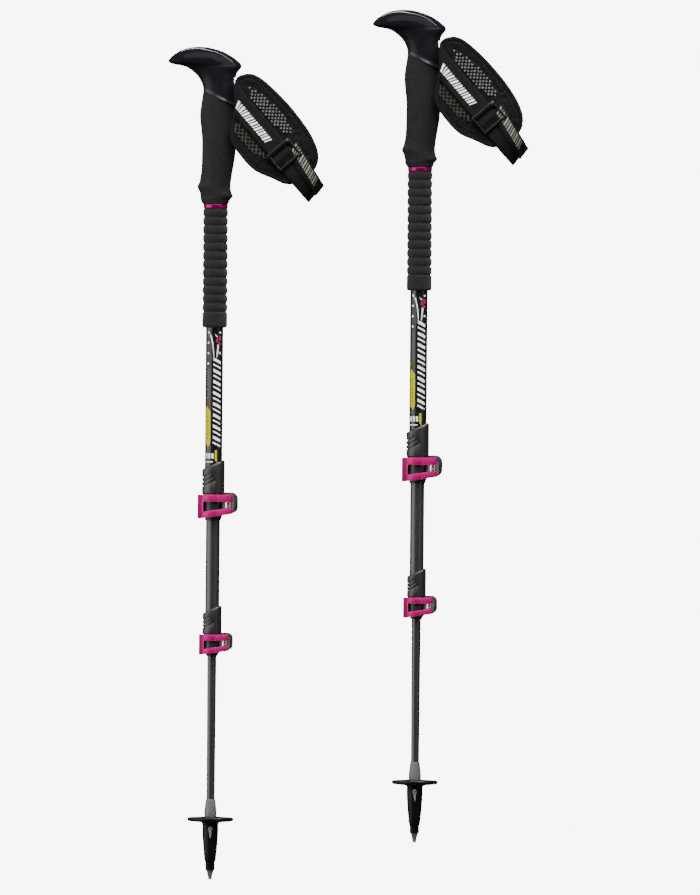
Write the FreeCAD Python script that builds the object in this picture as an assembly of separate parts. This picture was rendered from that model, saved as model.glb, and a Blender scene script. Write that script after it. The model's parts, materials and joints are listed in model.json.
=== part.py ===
import FreeCAD, Part
import math
import os
from FreeCAD import Placement, Rotation, Vector

# A pair of three-section trekking poles with lever clamps, palm-rest grips, foam lower grips and
# padded wrist straps. One pole is built about its own axis, with the point of its carbide tip at
# z = 0 and the beak of its palm rest towards -X, and is then placed twice. Millimetres, +Z up.
# The origin of the pair is the middle of the left pole's hand grip.

# The pair
PAIR_SPACING = 216.3        # from the left pole's axis to the right pole's
PAIR_RAISE = 41.1           # the right pole stands this much above the left one
HAND_Z = 782.0              # the middle of the hand grip, above the point

# Tubes: outer radius, wall, and both ends at the stored length
UPPER_R = 9.25
UPPER_WALL = 1.2
UPPER_BOTTOM = 412.0
UPPER_TOP = 845.0
MIDDLE_R = 7.5
MIDDLE_WALL = 1.0
MIDDLE_BOTTOM = 262.0
MIDDLE_TOP = 732.0
LOWER_R = 4.9
LOWER_TIP_R = 4.4           # the lower tube tapers to this at the ferrule
LOWER_WALL = 1.0
LOWER_BOTTOM = 45.0
LOWER_TAPER_TOP = 232.0
LOWER_TOP = 540.0
SLIDING_FIT = 0.06          # radial gap of a guide in its tube, and of a clamp round its tube
GUIDE_FLANGE = 7.0
GUIDE_STEM = 22.0
GUIDE_BORE_R = 2.0

# Hand grip: height, front edge (-X), back edge (+X) and half width of each section. The handle's
# surface runs smoothly through its sections; the head's crown and beak turn more sharply.
HANDLE_SECTIONS = [
    (716.0, -14.0, 13.4, 13.3),
    (720.5, -16.0, 15.0, 13.8),
    (724.5, -16.3, 18.1, 14.0),
    (729.5, -17.6, 16.3, 14.0),
    (734.5, -19.6, 15.7, 13.9),
    (740.5, -17.4, 16.1, 13.8),
    (752.0, -15.7, 17.8, 13.9),
    (767.0, -15.2, 20.2, 14.2),
    (784.0, -15.2, 21.0, 14.5),
    (800.0, -16.7, 21.5, 14.7),
    (811.0, -17.6, 21.8, 14.8),
    (823.0, -16.2, 21.8, 14.8),
    (838.0, -14.0, 20.8, 14.8),
]
HEAD_SECTIONS = [
    (808.0, -17.9, 22.3, 15.2),
    (823.0, -16.6, 22.3, 15.2),
    (838.0, -14.4, 21.2, 15.2),
    (848.0, -17.8, 20.2, 15.4),
    (855.0, -23.5, 21.4, 15.8),
    (861.3, -33.0, 26.0, 16.2),
    (864.6, -48.0, 25.6, 16.5),
    (867.8, -51.5, 22.6, 16.4),
    (872.5, -48.0, 16.5, 15.4),
    (877.2, -41.6, 8.0, 12.8),
    (880.6, -34.5, -2.0, 8.5),
    (882.5, -26.0, -10.0, 3.5),
]
SKIRT_Z = 828.8             # height of the head's slanting lower edge on the pole's axis
SKIRT_TILT = 25.9           # degrees down towards the back
GRIP_BORE_GAP = 0.02

# Ring and foam sleeve below the handle
RING_TOP = 716.0
RING_BOTTOM = 711.8
RING_R = 13.0
FOAM_BOTTOM = 585.2
FOAM_COLLAR_TOP = 602.0
FOAM_COLLAR_R = 13.2
FOAM_RIB_R = 13.4
FOAM_VALLEY_R = 12.4
FOAM_RIBS = 12

# Lever clamps, at the size of the upper one; the lower one is the same design, smaller
CLAMP_SCALE = {"upper": 1.0, "lower": 0.84}
CLAMP_BOTTOM = {"upper": 381.0, "lower": 237.0}
CLAMP_FOOT_R = {"upper": 8.65, "lower": 6.2}
SLEEVE_R = 12.0
SLEEVE_BOTTOM = 28.7
SLEEVE_TOP = 65.0
SLEEVE_TOP_TILT = 25.0      # degrees: the sleeve's top slants down towards the front
SLEEVE_TOP_ROUND = 2.0
GROOVE_DEPTH = 0.4
GROOVE_WIDTH = 0.9
COLLAR_R = 10.8
SPLIT = 1.6                 # width of the collar's slit
EAR_X = 26.4
EAR_Y = 5.6                 # outer face of each ear
EAR_BOTTOM = 7.5
EAR_TOP = 29.8
PLATE = 0.6                 # steel plate between the cam and the front ear
CAM_R = 4.6
CAM_GAP = 0.25
PIVOT_X = 16.1
PIVOT_Y = -(EAR_Y + PLATE + CAM_GAP + CAM_R)
LEVER_IN_R = 11.5
LEVER_OUT_R = 14.3
LEVER_BOTTOM = 1.8
LEVER_TOP = 27.2
WINDOW_TOP = 19.7
BARREL_R = 4.0
BARREL_PIN_R = 2.0
BARREL_Z = 16.5             # height of the screw's axis above the clamp's foot
SCREW_R = 1.5
TURNING_FIT = 0.06          # radial gap of a hinge pin or a screw

# Tip
TIP_R = 2.1
TIP_SHANK_R = 1.5
TIP_SHANK_TOP = 16.0
FERRULE_PROFILE = [(2.3, 3.0), (2.7, 5.0), (3.6, 8.6), (4.0, 10.0), (4.0, 12.0), (6.2, 62.0),
                   (6.6, 67.6), (6.6, 72.0), (5.5, 82.5), (5.1, 85.3)]
SLEEVE_GAP = 0.25           # between the basket's sleeve and the ferrule
NOSE_R = 5.0                # straight lower end of the basket's sleeve
BASKET_R = 24.4
BASKET_SLOTS = 8

# Wrist strap, in its own frame: a runs from the grip along the strap, b is the pole's Y and
# c runs across the webbing. The strap slants down and back by STRAP_DIP.
STRAP_DIP = 49.0
STRAP_ORIGIN = Vector(15.4, 0, 833.7)
PIN_X = 15.0
PIN_Z = 845.0
PIN_A = -8.8                # the pin's place in the strap's frame
PIN_C = 7.1
PIN_R = 1.5
PIN_HALF = 10.4
LOOP_HALF = 17.4            # half the loop's inner width
LOOP_STRAIGHT = 105.0       # where its rounded end begins
LOOP_END = 28.0             # length of that end
CUFF_THICK = 4.5
WEBBING_THICK = 1.5
WEBBING_HALF = 12.0
BUCKLE_A = 74.0             # where the buckle begins
BUCKLE_LENGTH = 25.0
BUCKLE_HALF = 15.0
BUCKLE_BAR = 4.6
CUFF_OUTLINE = [(-5.0, 20.0), (0.0, 29.5), (14.0, 34.5), (40.0, 37.3), (66.0, 37.3), (90.0, 34.5),
                (108.0, 28.0), (118.0, 16.0), (118.5, -2.0), (112.0, -17.0), (96.0, -25.5),
                (78.0, -33.8), (58.0, -35.0), (40.0, -32.0), (30.0, -22.0), (10.0, 1.0)]


def cylinder(radius, bottom, top, x=0.0, y=0.0):
    return Part.makeCylinder(radius, top - bottom, Vector(x, y, bottom))


def cylinder_y(radius, y_from, y_to, x, z):
    return Part.makeCylinder(radius, y_to - y_from, Vector(x, y_from, z), Vector(0, 1, 0))


def box(low, high):
    return Part.makeBox(high[0] - low[0], high[1] - low[1], high[2] - low[2], Vector(*low))


def turned(profile):
    """Solid of revolution about Z through (radius, height) points."""
    points = [Vector(radius, 0, z) for radius, z in profile]
    face = Part.Face(Part.makePolygon(points + points[:1]))
    return face.revolve(Vector(), Vector(0, 0, 1), 360)


def prism_y(points, half):
    """Prism along Y, from -half to half, over (x, z) points."""
    corners = [Vector(x, -half, z) for x, z in points]
    face = Part.Face(Part.makePolygon(corners + corners[:1]))
    return face.extrude(Vector(0, 2 * half, 0))


def prism_z(points, bottom, top):
    """Prism along Z over (x, y) points."""
    corners = [Vector(x, y, bottom) for x, y in points]
    face = Part.Face(Part.makePolygon(corners + corners[:1]))
    return face.extrude(Vector(0, 0, top - bottom))


def tube(outer_r, wall, bottom, top):
    return cylinder(outer_r, bottom, top).cut(cylinder(outer_r - wall, bottom - 1, top + 1))


def slanting_block(z_on_axis, tilt, above):
    """Large block on one side of a plane that falls towards +X by tilt degrees."""
    size = 200.0
    low = 0.0 if above else -size
    block = box((-size, -size, low), (size, size, low + size))
    return block.transformed(Placement(Vector(0, 0, z_on_axis), Rotation(Vector(0, 1, 0), tilt)).Matrix)


# Grip


def oval(z, front, back, half_width):
    """Closed oval section with its long axis along X."""
    half_length = (back - front) / 2
    centre = Vector((back + front) / 2, 0, z)
    return Part.Wire(Part.Ellipse(centre, half_length, half_width).toShape())


def strap_slot():
    """Opening at the back of the head for the strap's tab and its swing."""
    outline = [(10.8, 850.5), (34.0, 850.5), (34.0, 822.0), (22.5, 832.0), (10.8, 840.5)]
    return prism_y(outline, 7.2)


def grip_head():
    body = Part.makeLoft([oval(*section) for section in HEAD_SECTIONS], True, True)
    body = body.common(slanting_block(SKIRT_Z, SKIRT_TILT, True))
    body = body.cut(cylinder(UPPER_R + GRIP_BORE_GAP, 700, UPPER_TOP))
    return body.cut(strap_slot()).cut(cylinder_y(PIN_R, -PIN_HALF, PIN_HALF, PIN_X, PIN_Z))


def grip_handle():
    body = Part.makeLoft([oval(*section) for section in HANDLE_SECTIONS], True, False)
    body = body.common(slanting_block(SKIRT_Z, SKIRT_TILT, False))
    return body.cut(cylinder(UPPER_R + GRIP_BORE_GAP, 700, UPPER_TOP))


def strap_pin():
    return cylinder_y(PIN_R, -PIN_HALF, PIN_HALF, PIN_X, PIN_Z)


def collar_ring():
    lip = 0.4
    return turned([(UPPER_R, RING_BOTTOM), (RING_R - lip, RING_BOTTOM), (RING_R, RING_BOTTOM + lip),
                   (RING_R, RING_TOP - lip), (RING_R - lip, RING_TOP), (UPPER_R, RING_TOP)])


def foam_sleeve():
    """Foam tube with round ribs above a plain collar."""
    pitch = (RING_BOTTOM - FOAM_COLLAR_TOP) / FOAM_RIBS
    edges = []
    point = Vector(UPPER_R, 0, FOAM_BOTTOM)
    outline = [(FOAM_COLLAR_R - 1.2, FOAM_BOTTOM), (FOAM_COLLAR_R, FOAM_BOTTOM + 2.0),
               (FOAM_COLLAR_R, FOAM_COLLAR_TOP - 1.0), (FOAM_VALLEY_R, FOAM_COLLAR_TOP)]
    for radius, z in outline:
        edges.append(Part.LineSegment(point, Vector(radius, 0, z)).toShape())
        point = Vector(radius, 0, z)
    for rib in range(FOAM_RIBS):
        z = FOAM_COLLAR_TOP + rib * pitch
        crest = Vector(FOAM_RIB_R, 0, z + pitch / 2)
        end = Vector(FOAM_VALLEY_R, 0, z + pitch)
        edges.append(Part.Arc(point, crest, end).toShape())
        point = end
    top = Vector(UPPER_R, 0, RING_BOTTOM)
    edges.append(Part.LineSegment(point, top).toShape())
    edges.append(Part.LineSegment(top, Vector(UPPER_R, 0, FOAM_BOTTOM)).toShape())
    return Part.Face(Part.Wire(edges)).revolve(Vector(), Vector(0, 0, 1), 360)


# Tubes and their guides


def lower_tube():
    inner_top = LOWER_R - LOWER_WALL
    inner_tip = LOWER_TIP_R - LOWER_WALL
    return turned([(LOWER_TIP_R, LOWER_BOTTOM), (LOWER_TIP_R, 86.0), (LOWER_R, LOWER_TAPER_TOP),
                   (LOWER_R, LOWER_TOP), (inner_top, LOWER_TOP), (inner_top, LOWER_TAPER_TOP),
                   (inner_tip, 86.0), (inner_tip, LOWER_BOTTOM)])


def tube_guide(outer_bore, inner_bore, top):
    """Plug in the top end of a sliding tube, with a flange that runs in the tube around it."""
    flange = cylinder(outer_bore - SLIDING_FIT, top, top + GUIDE_FLANGE)
    stem = cylinder(inner_bore, top - GUIDE_STEM, top)
    return flange.fuse(stem).cut(cylinder(GUIDE_BORE_R, top - GUIDE_STEM - 1, top + GUIDE_FLANGE + 1))


# Lever clamps, built with their foot at z = 0 and at the upper clamp's size


def rounded_ear(y_low, y_high):
    ear = box((7.0, y_low, EAR_BOTTOM), (EAR_X, y_high, EAR_TOP))
    corners = [e for e in ear.Edges
               if abs(e.CenterOfMass.x - EAR_X) < 0.01 and abs(e.tangentAt(e.FirstParameter).y) > 0.9]
    return ear.makeFillet(7.0, corners)


def clamp_shell(foot_r):
    """Outside of the clamp body, with its ears and slits, before its bores are cut."""
    collar = turned([(0, 0), (foot_r, 0), (foot_r, 1.6), (COLLAR_R - 0.8, 5.0), (COLLAR_R, 9.0),
                     (COLLAR_R, SLEEVE_BOTTOM - 1.6), (SLEEVE_R, SLEEVE_BOTTOM), (SLEEVE_R, SLEEVE_TOP),
                     (0, SLEEVE_TOP)])
    top_on_axis = SLEEVE_TOP - SLEEVE_R * math.tan(math.radians(SLEEVE_TOP_TILT))
    shell = collar.cut(slanting_block(top_on_axis, -SLEEVE_TOP_TILT, True))
    rim = [e for e in shell.Edges if isinstance(e.Curve, Part.Ellipse)]
    shell = shell.makeFillet(SLEEVE_TOP_ROUND, rim)
    for groove in range(3):
        z_on_axis = 41.0 + 4.6 * groove
        ring = cylinder(SLEEVE_R + 3, 0, GROOVE_WIDTH).cut(cylinder(SLEEVE_R - GROOVE_DEPTH, -1, 3))
        ring = ring.common(box((-20, -20, -1), (3 - 3 * groove, 20, 3)))
        tilted = Placement(Vector(0, 0, z_on_axis), Rotation(Vector(0, 1, 0), -SLEEVE_TOP_TILT))
        shell = shell.cut(ring.transformed(tilted.Matrix))
    shell = shell.fuse(rounded_ear(-EAR_Y, -SPLIT / 2)).fuse(rounded_ear(SPLIT / 2, EAR_Y))
    shell = shell.cut(box((0, -SPLIT / 2, -1), (EAR_X + 1, SPLIT / 2, EAR_TOP + 1)))
    shell = shell.cut(cylinder_y(SCREW_R + 0.2, -20, 20, PIVOT_X, BARREL_Z))
    return shell.removeSplitter()


def clamp_body(name, tube_r, bore_r, tube_end):
    """Clamp body on the end of one tube, closing on the thinner tube that slides in it."""
    scale = CLAMP_SCALE[name]
    foot = CLAMP_BOTTOM[name]
    shell = clamp_shell(CLAMP_FOOT_R[name] / scale)
    shell.scale(scale)
    shell.translate(Vector(0, 0, foot))
    shell = shell.cut(cylinder(bore_r, foot - 1, tube_end + 1))
    return shell.cut(cylinder(tube_r, tube_end, foot + SLEEVE_TOP + 1))


def lever_plan():
    """Lever seen from above, as a tall block: a band round the collar's front from the cam to the
    finger tab at the left."""
    ring = cylinder(LEVER_OUT_R, LEVER_BOTTOM, LEVER_TOP).cut(cylinder(LEVER_IN_R, 0, 40))
    front = ring.common(prism_z([(0, 0), (-40, 3.0), (-40, -40), (14.5, -40)], LEVER_BOTTOM, LEVER_TOP))
    cam = cylinder(CAM_R, LEVER_BOTTOM, LEVER_TOP, PIVOT_X, PIVOT_Y)
    arm_points = [(4.2, -10.72), (12.4, -8.4), (PIVOT_X, PIVOT_Y + CAM_R), (PIVOT_X, PIVOT_Y - CAM_R),
                  (4.6, -13.6)]
    arm = prism_z(arm_points, LEVER_BOTTOM, LEVER_TOP)
    tab_points = [(-11.5, 0.9), (-11.6, -1.5), (-14.2, -1.5), (-16.7, 7.5), (-14.7, 8.2)]
    tab = prism_z(tab_points, LEVER_BOTTOM, LEVER_TOP)
    return front.fuse(arm).fuse(cam).fuse(tab).removeSplitter()


def clamp_lever():
    lever = lever_plan()
    window = [(-10.6, WINDOW_TOP), (30, WINDOW_TOP), (30, 13.4), (PIVOT_X, 13.0), (-10.6, 8.9)]
    below = LEVER_BOTTOM - 5
    under = [(-17.0, below), (-13.0, LEVER_BOTTOM), (21.0, 7.0), (25.0, below)]
    lever = lever.cut(prism_y(window, 40)).cut(prism_y(under, 40))
    eyes = cylinder(BARREL_PIN_R + TURNING_FIT, 0, 40, PIVOT_X, PIVOT_Y)
    return lever.cut(eyes).removeSplitter()


def clamp_barrel():
    body = cylinder(BARREL_R, 13.4, WINDOW_TOP - 0.3, PIVOT_X, PIVOT_Y)
    pin = cylinder(BARREL_PIN_R, 8.0, LEVER_TOP - 0.4, PIVOT_X, PIVOT_Y)
    return body.fuse(pin).cut(cylinder_y(SCREW_R + TURNING_FIT, -40, 40, PIVOT_X, BARREL_Z))


def cam_plate():
    plate = box((9.6, -EAR_Y - PLATE, 9.0), (22.6, -EAR_Y, 24.0))
    corners = [e for e in plate.Edges if abs(e.tangentAt(e.FirstParameter).y) > 0.9]
    plate = plate.makeFillet(2.0, corners)
    return plate.cut(cylinder_y(SCREW_R + 0.2, -40, 40, PIVOT_X, BARREL_Z))


def clamp_screw():
    """Tension screw from the back ear into the barrel, with a hexagon socket in its head."""
    head_y = EAR_Y + 0.05
    shank = cylinder_y(SCREW_R, PIVOT_Y - 2.6, head_y, PIVOT_X, BARREL_Z)
    head = cylinder_y(3.1, head_y, head_y + 2.8, PIVOT_X, BARREL_Z)
    rim = [e for e in head.Edges if abs(e.CenterOfMass.y - head_y - 2.8) < 0.01]
    head = head.makeFillet(0.6, rim)
    hexagon = [Vector(PIVOT_X + 1.6 * math.cos(math.radians(60 * i)), head_y + 1.2,
                      BARREL_Z + 1.6 * math.sin(math.radians(60 * i))) for i in range(6)]
    socket = Part.Face(Part.makePolygon(hexagon + hexagon[:1])).extrude(Vector(0, 3, 0))
    return shank.fuse(head).cut(socket)


def placed_clamp_piece(piece, name):
    piece.scale(CLAMP_SCALE[name])
    piece.translate(Vector(0, 0, CLAMP_BOTTOM[name]))
    return piece


# Tip


def carbide_tip():
    """Hard point with a hollow, notched end, on a shank pressed into the ferrule."""
    point = turned([(0, 1.0), (TIP_R, 0), (TIP_R, 3.0), (TIP_SHANK_R, 3.0), (TIP_SHANK_R, TIP_SHANK_TOP),
                    (0, TIP_SHANK_TOP)])
    notch = box((-5, -0.35, -1), (5, 0.35, 0.7))
    crossed = notch.transformed(Placement(Vector(), Rotation(Vector(0, 0, 1), 90)).Matrix)
    return point.cut(notch).cut(crossed)


def tip_ferrule():
    outline = FERRULE_PROFILE + [(0, 85.3), (0, 3.0)]
    ferrule = turned(outline).cut(cylinder(TIP_SHANK_R, 0, TIP_SHANK_TOP))
    ferrule = ferrule.cut(cylinder(LOWER_TIP_R, LOWER_BOTTOM, 90))
    return ferrule.cut(cylinder_y(1.1, -8, -5.6, 0, 54.5))


def basket():
    """Trekking basket in one piece with the sleeve that pushes onto the ferrule."""
    sleeve = turned([(0, 10.2), (NOSE_R - 0.3, 10.2), (NOSE_R, 10.5), (NOSE_R, 18.0), (6.1, 21.0),
                     (7.2, 31.5), (8.3, 46.0), (8.5, 52.0), (8.5, 60.0), (0, 60.0)])
    disc = turned([(0, 59.5), (9.4, 59.5), (9.4, 60.6), (21.5, 61.8), (23.5, 62.3), (BASKET_R, 63.3),
                   (BASKET_R, 64.9), (23.5, 65.9), (21.5, 66.2), (8.6, 66.9), (0, 66.9)])
    for i in range(BASKET_SLOTS):
        slot = cylinder(2.1, 55, 70, 13.4).fuse(cylinder(2.7, 55, 70, 19.2))
        slot = slot.fuse(prism_z([(13.4, -2.1), (19.2, -2.7), (19.2, 2.7), (13.4, 2.1)], 55, 70))
        turn = Placement(Vector(), Rotation(Vector(0, 0, 1), 360 / BASKET_SLOTS * (i + 0.5)))
        disc = disc.cut(slot.transformed(turn.Matrix))
    piece = sleeve.fuse(disc)
    bore = turned([(0, 9.0), (4.0 + SLEEVE_GAP, 9.0), (4.0 + SLEEVE_GAP, 12.0), (6.2 + SLEEVE_GAP, 62.0),
                   (6.65 + SLEEVE_GAP, 68.0), (0, 68.0)])
    round_end = cylinder_y(3.0, -20, 0, 0, 54.6)
    point = prism_y([(-2.9, 53.8), (2.9, 53.8), (0, 42.6)], 20).common(box((-5, -20, 40), (5, 0, 60)))
    return piece.cut(bore).cut(round_end).cut(point).removeSplitter()


# Wrist strap, in the strap's own frame


def strap_placed(shape):
    place = Placement(STRAP_ORIGIN, Rotation(Vector(0, 1, 0), STRAP_DIP))
    return shape.transformed(place.Matrix)


def loop_block(offset, c_half):
    """Everything inside the loop grown by offset, from behind the grip to the rounded end."""
    start = -30.0
    half = LOOP_HALF + offset
    ellipse = Part.Ellipse(Vector(LOOP_STRAIGHT, 0, -c_half), LOOP_END + offset, half)
    arc = Part.ArcOfEllipse(ellipse, -math.pi / 2, math.pi / 2).toShape()
    near = Vector(LOOP_STRAIGHT, -half, -c_half)
    far = Vector(LOOP_STRAIGHT, half, -c_half)
    near_start = Vector(start, -half, -c_half)
    far_start = Vector(start, half, -c_half)
    lines = [Part.makeLine(near_start, near), arc, Part.makeLine(far, far_start),
             Part.makeLine(far_start, near_start)]
    return Part.Face(Part.Wire(lines)).extrude(Vector(0, 0, 2 * c_half))


def strap_cuff():
    band = loop_block(CUFF_THICK, 60).cut(loop_block(0, 61))
    curve = Part.BSplineCurve()
    curve.interpolate([Vector(a, -60, c) for a, c in CUFF_OUTLINE], PeriodicFlag=True)
    outline = Part.Face(Part.Wire(curve.toShape())).extrude(Vector(0, 55, 0))
    return strap_placed(band.common(outline))


def strap_webbing():
    inner = CUFF_THICK + 0.1
    band = loop_block(inner + WEBBING_THICK, WEBBING_HALF).cut(loop_block(inner, WEBBING_HALF + 1))
    band = band.cut(box((-40, -60, -40), (9, 0, 40)))
    return strap_placed(band.cut(box((-40, -1, -40), (20, 60, 40))))


def strap_tab():
    """Eye round the pin, a neck out of the slot and a cross piece sewn between the two sides."""
    eye = cylinder_y(3.2, -6.5, 6.5, PIN_A, PIN_C)
    neck = box((PIN_A, -6.5, PIN_C - 2.0), (24.0, 6.5, PIN_C + 2.0))
    far_side = LOOP_HALF + CUFF_THICK + 0.1
    cross = box((22.0, -LOOP_HALF, 1.0), (26.0, far_side, 13.0))
    tab = eye.fuse(neck).fuse(cross).cut(cylinder_y(PIN_R + TURNING_FIT, -20, 20, PIN_A, PIN_C))
    return strap_placed(tab.removeSplitter())


def strap_buckle():
    """Ladder buckle on the outside of the near webbing."""
    outer = -(LOOP_HALF + CUFF_THICK + WEBBING_THICK + 0.2)
    frame = box((BUCKLE_A, outer - 3.2, -BUCKLE_HALF), (BUCKLE_A + BUCKLE_LENGTH, outer, BUCKLE_HALF))
    frame = frame.makeFillet(1.2, frame.Edges)
    slot = (BUCKLE_LENGTH - 3 * BUCKLE_BAR) / 2
    for a in (BUCKLE_A + BUCKLE_BAR, BUCKLE_A + 2 * BUCKLE_BAR + slot):
        frame = frame.cut(box((a, outer - 5, -WEBBING_HALF), (a + slot, outer + 1, WEBBING_HALF)))
    return strap_placed(frame)


def pole_pieces():
    """Every piece of one pole, by name, on the pole's own axis."""
    pieces = {
        "grip_head": grip_head(),
        "grip_handle": grip_handle(),
        "strap_pin": strap_pin(),
        "strap_tab": strap_tab(),
        "strap_cuff": strap_cuff(),
        "strap_webbing": strap_webbing(),
        "strap_buckle": strap_buckle(),
        "collar_ring": collar_ring(),
        "foam_sleeve": foam_sleeve(),
        "upper_tube": tube(UPPER_R, UPPER_WALL, UPPER_BOTTOM, UPPER_TOP),
        "middle_tube": tube(MIDDLE_R, MIDDLE_WALL, MIDDLE_BOTTOM, MIDDLE_TOP),
        "lower_tube": lower_tube(),
        "middle_tube_guide": tube_guide(UPPER_R - UPPER_WALL, MIDDLE_R - MIDDLE_WALL, MIDDLE_TOP),
        "lower_tube_guide": tube_guide(MIDDLE_R - MIDDLE_WALL, LOWER_R - LOWER_WALL, LOWER_TOP),
        "upper_clamp_body": clamp_body("upper", UPPER_R, MIDDLE_R + SLIDING_FIT, UPPER_BOTTOM),
        "lower_clamp_body": clamp_body("lower", MIDDLE_R, LOWER_R + SLIDING_FIT, MIDDLE_BOTTOM),
        "tip_ferrule": tip_ferrule(),
        "carbide_tip": carbide_tip(),
        "basket": basket(),
    }
    for name in ("upper", "lower"):
        pieces[name + "_clamp_lever"] = placed_clamp_piece(clamp_lever(), name)
        pieces[name + "_clamp_barrel"] = placed_clamp_piece(clamp_barrel(), name)
        pieces[name + "_clamp_screw"] = placed_clamp_piece(clamp_screw(), name)
        pieces[name + "_clamp_plate"] = placed_clamp_piece(cam_plate(), name)
    return pieces


def main():
    os.makedirs("parts", exist_ok=True)
    offsets = {
        "left": Vector(0, 0, -HAND_Z),
        "right": Vector(PAIR_SPACING, 0, PAIR_RAISE - HAND_Z),
    }
    for name, piece in pole_pieces().items():
        for side, offset in offsets.items():
            copy = piece.copy()
            copy.translate(offset)
            copy.exportStep("parts/" + side + "_" + name + ".step")
        print(name, piece.ShapeType, "solids", len(piece.Solids), "valid", piece.isValid(),
              "volume", round(piece.Volume))


main()
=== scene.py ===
import json
import math
import random

import bmesh
import bpy
import numpy as np
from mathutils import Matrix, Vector
from mathutils.bvhtree import BVHTree
from mathutils.geometry import delaunay_2d_cdt

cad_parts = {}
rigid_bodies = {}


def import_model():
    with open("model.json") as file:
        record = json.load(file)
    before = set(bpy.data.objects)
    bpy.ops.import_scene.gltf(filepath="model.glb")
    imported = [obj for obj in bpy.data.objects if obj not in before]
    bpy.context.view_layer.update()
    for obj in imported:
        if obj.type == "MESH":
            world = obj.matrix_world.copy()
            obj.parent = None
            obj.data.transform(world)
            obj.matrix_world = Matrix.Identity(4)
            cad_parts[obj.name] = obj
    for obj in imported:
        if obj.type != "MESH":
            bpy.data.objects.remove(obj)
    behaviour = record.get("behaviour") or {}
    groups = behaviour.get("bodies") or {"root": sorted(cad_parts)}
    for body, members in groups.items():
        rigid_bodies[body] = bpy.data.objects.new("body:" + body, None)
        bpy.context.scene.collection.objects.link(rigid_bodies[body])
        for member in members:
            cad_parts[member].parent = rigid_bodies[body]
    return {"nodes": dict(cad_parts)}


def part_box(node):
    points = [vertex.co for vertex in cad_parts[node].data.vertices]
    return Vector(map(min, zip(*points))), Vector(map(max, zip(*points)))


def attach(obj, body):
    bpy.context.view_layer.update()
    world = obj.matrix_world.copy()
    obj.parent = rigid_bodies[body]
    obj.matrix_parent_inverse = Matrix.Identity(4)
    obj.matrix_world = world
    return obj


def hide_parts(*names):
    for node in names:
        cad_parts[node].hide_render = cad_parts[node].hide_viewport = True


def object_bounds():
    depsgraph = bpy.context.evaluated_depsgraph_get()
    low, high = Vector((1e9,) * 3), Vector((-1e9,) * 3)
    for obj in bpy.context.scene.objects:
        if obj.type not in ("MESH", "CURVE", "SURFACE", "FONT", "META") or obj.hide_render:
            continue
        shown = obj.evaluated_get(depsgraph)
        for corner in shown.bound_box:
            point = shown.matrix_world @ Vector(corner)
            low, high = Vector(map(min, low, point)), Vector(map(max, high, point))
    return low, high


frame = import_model()
cad_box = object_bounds()

# Shapes are made in one pole's own frame, in millimetres: its axis at x = y = 0, the point of its
# tip at z = 0 and the beak of its palm rest towards -X. Each mesh is then placed on both poles.

MM = 0.001
SIDES = ("left", "right")


def pole_origin(side):
    tube_low, tube_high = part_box(side + "_upper_tube")
    tip_low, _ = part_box(side + "_carbide_tip")
    return Vector(((tube_low.x + tube_high.x) / 2, (tube_low.y + tube_high.y) / 2, tip_low.z))


ORIGIN = {side: pole_origin(side) for side in SIDES}


def extent(node):
    """Lowest and highest corner of a CAD node, in the pole's own frame."""
    low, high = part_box("left_" + node)
    return (low - ORIGIN["left"]) / MM, (high - ORIGIN["left"]) / MM


FOAM_LOW, FOAM_HIGH = extent("foam_sleeve")
UPPER_R = extent("upper_tube")[1].x
UPPER_TOP = extent("upper_tube")[1].z
PIN = sum(extent("strap_pin"), Vector()) / 2


# Camera, light and floor


VIEW_OFFSET = Vector((0.0043, 0.0, -0.0024))    # the view's centre from the middle of the CAD box
VIEW_HEIGHT = 0.9487                            # what the picture shows from top to bottom
VIEW_ROLL = 0.5                                 # degrees: the poles lean to the right
LENS = 500.0
SENSOR = 36.0
BACKGROUND = 8.0                                # radiance of the floor and the backdrop
AMBIENT = 0.1
FLOOR_DROP = 0.55           # room below the tips for poles pulled out to their stops
FLOOR_RADIUS = 12.0
BACKDROP_RADIUS = 28.0

# Name, place, how far above the view's centre it points, width and height, and radiance
LIGHTS = [
    ("light_left", (-2.0, -0.65, 0.0), 0.0, (2.6, 2.6), 3.2),
    ("light_right", (1.93, -1.25, 0.0), 0.0, (1.0, 2.2), 0.75),
    ("light_top", (0.5, 0.4, 1.6), 0.35, (3.4, 0.1), 120.0),
    ("light_front", (0.4, -3.0, 3.6), 0.0, (6.5, 3.7), 10.0),
]


def make_camera():
    data = bpy.data.cameras.new("camera")
    data.lens = LENS
    data.sensor_width = SENSOR
    distance = VIEW_HEIGHT / 2 * LENS / (SENSOR / 2)
    data.clip_end = 100.0
    camera = bpy.data.objects.new("camera", data)
    bpy.context.collection.objects.link(camera)
    centre = (cad_box[0] + cad_box[1]) / 2 + VIEW_OFFSET
    camera.location = centre - Vector((0, distance, 0))
    camera.rotation_euler = (math.radians(90), math.radians(-VIEW_ROLL), 0)
    bpy.context.scene.camera = camera
    return centre


def area_light(name, place, target, size, radiance):
    """Soft rectangular light of the given radiance."""
    data = bpy.data.lights.new(name, "AREA")
    data.shape = "RECTANGLE"
    data.size, data.size_y = size
    data.energy = radiance * math.pi * size[0] * size[1]
    light = bpy.data.objects.new(name, data)
    bpy.context.collection.objects.link(light)
    light.location = place
    light.rotation_euler = (target - Vector(place)).to_track_quat("-Z", "Y").to_euler()
    light.visible_camera = False


def link_object(name, mesh):
    piece = bpy.data.objects.new(name, mesh)
    bpy.context.collection.objects.link(piece)
    return piece


def stage_piece(name, shape, material, location):
    """The piece shows in the picture but throws no light on the poles."""
    mesh = bpy.data.meshes.new(name)
    shape.to_mesh(mesh)
    shape.free()
    mesh.materials.append(material)
    piece = link_object(name, mesh)
    piece.location = location
    piece.visible_diffuse = False
    piece.visible_glossy = False
    piece.visible_transmission = False
    piece.visible_shadow = False


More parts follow.
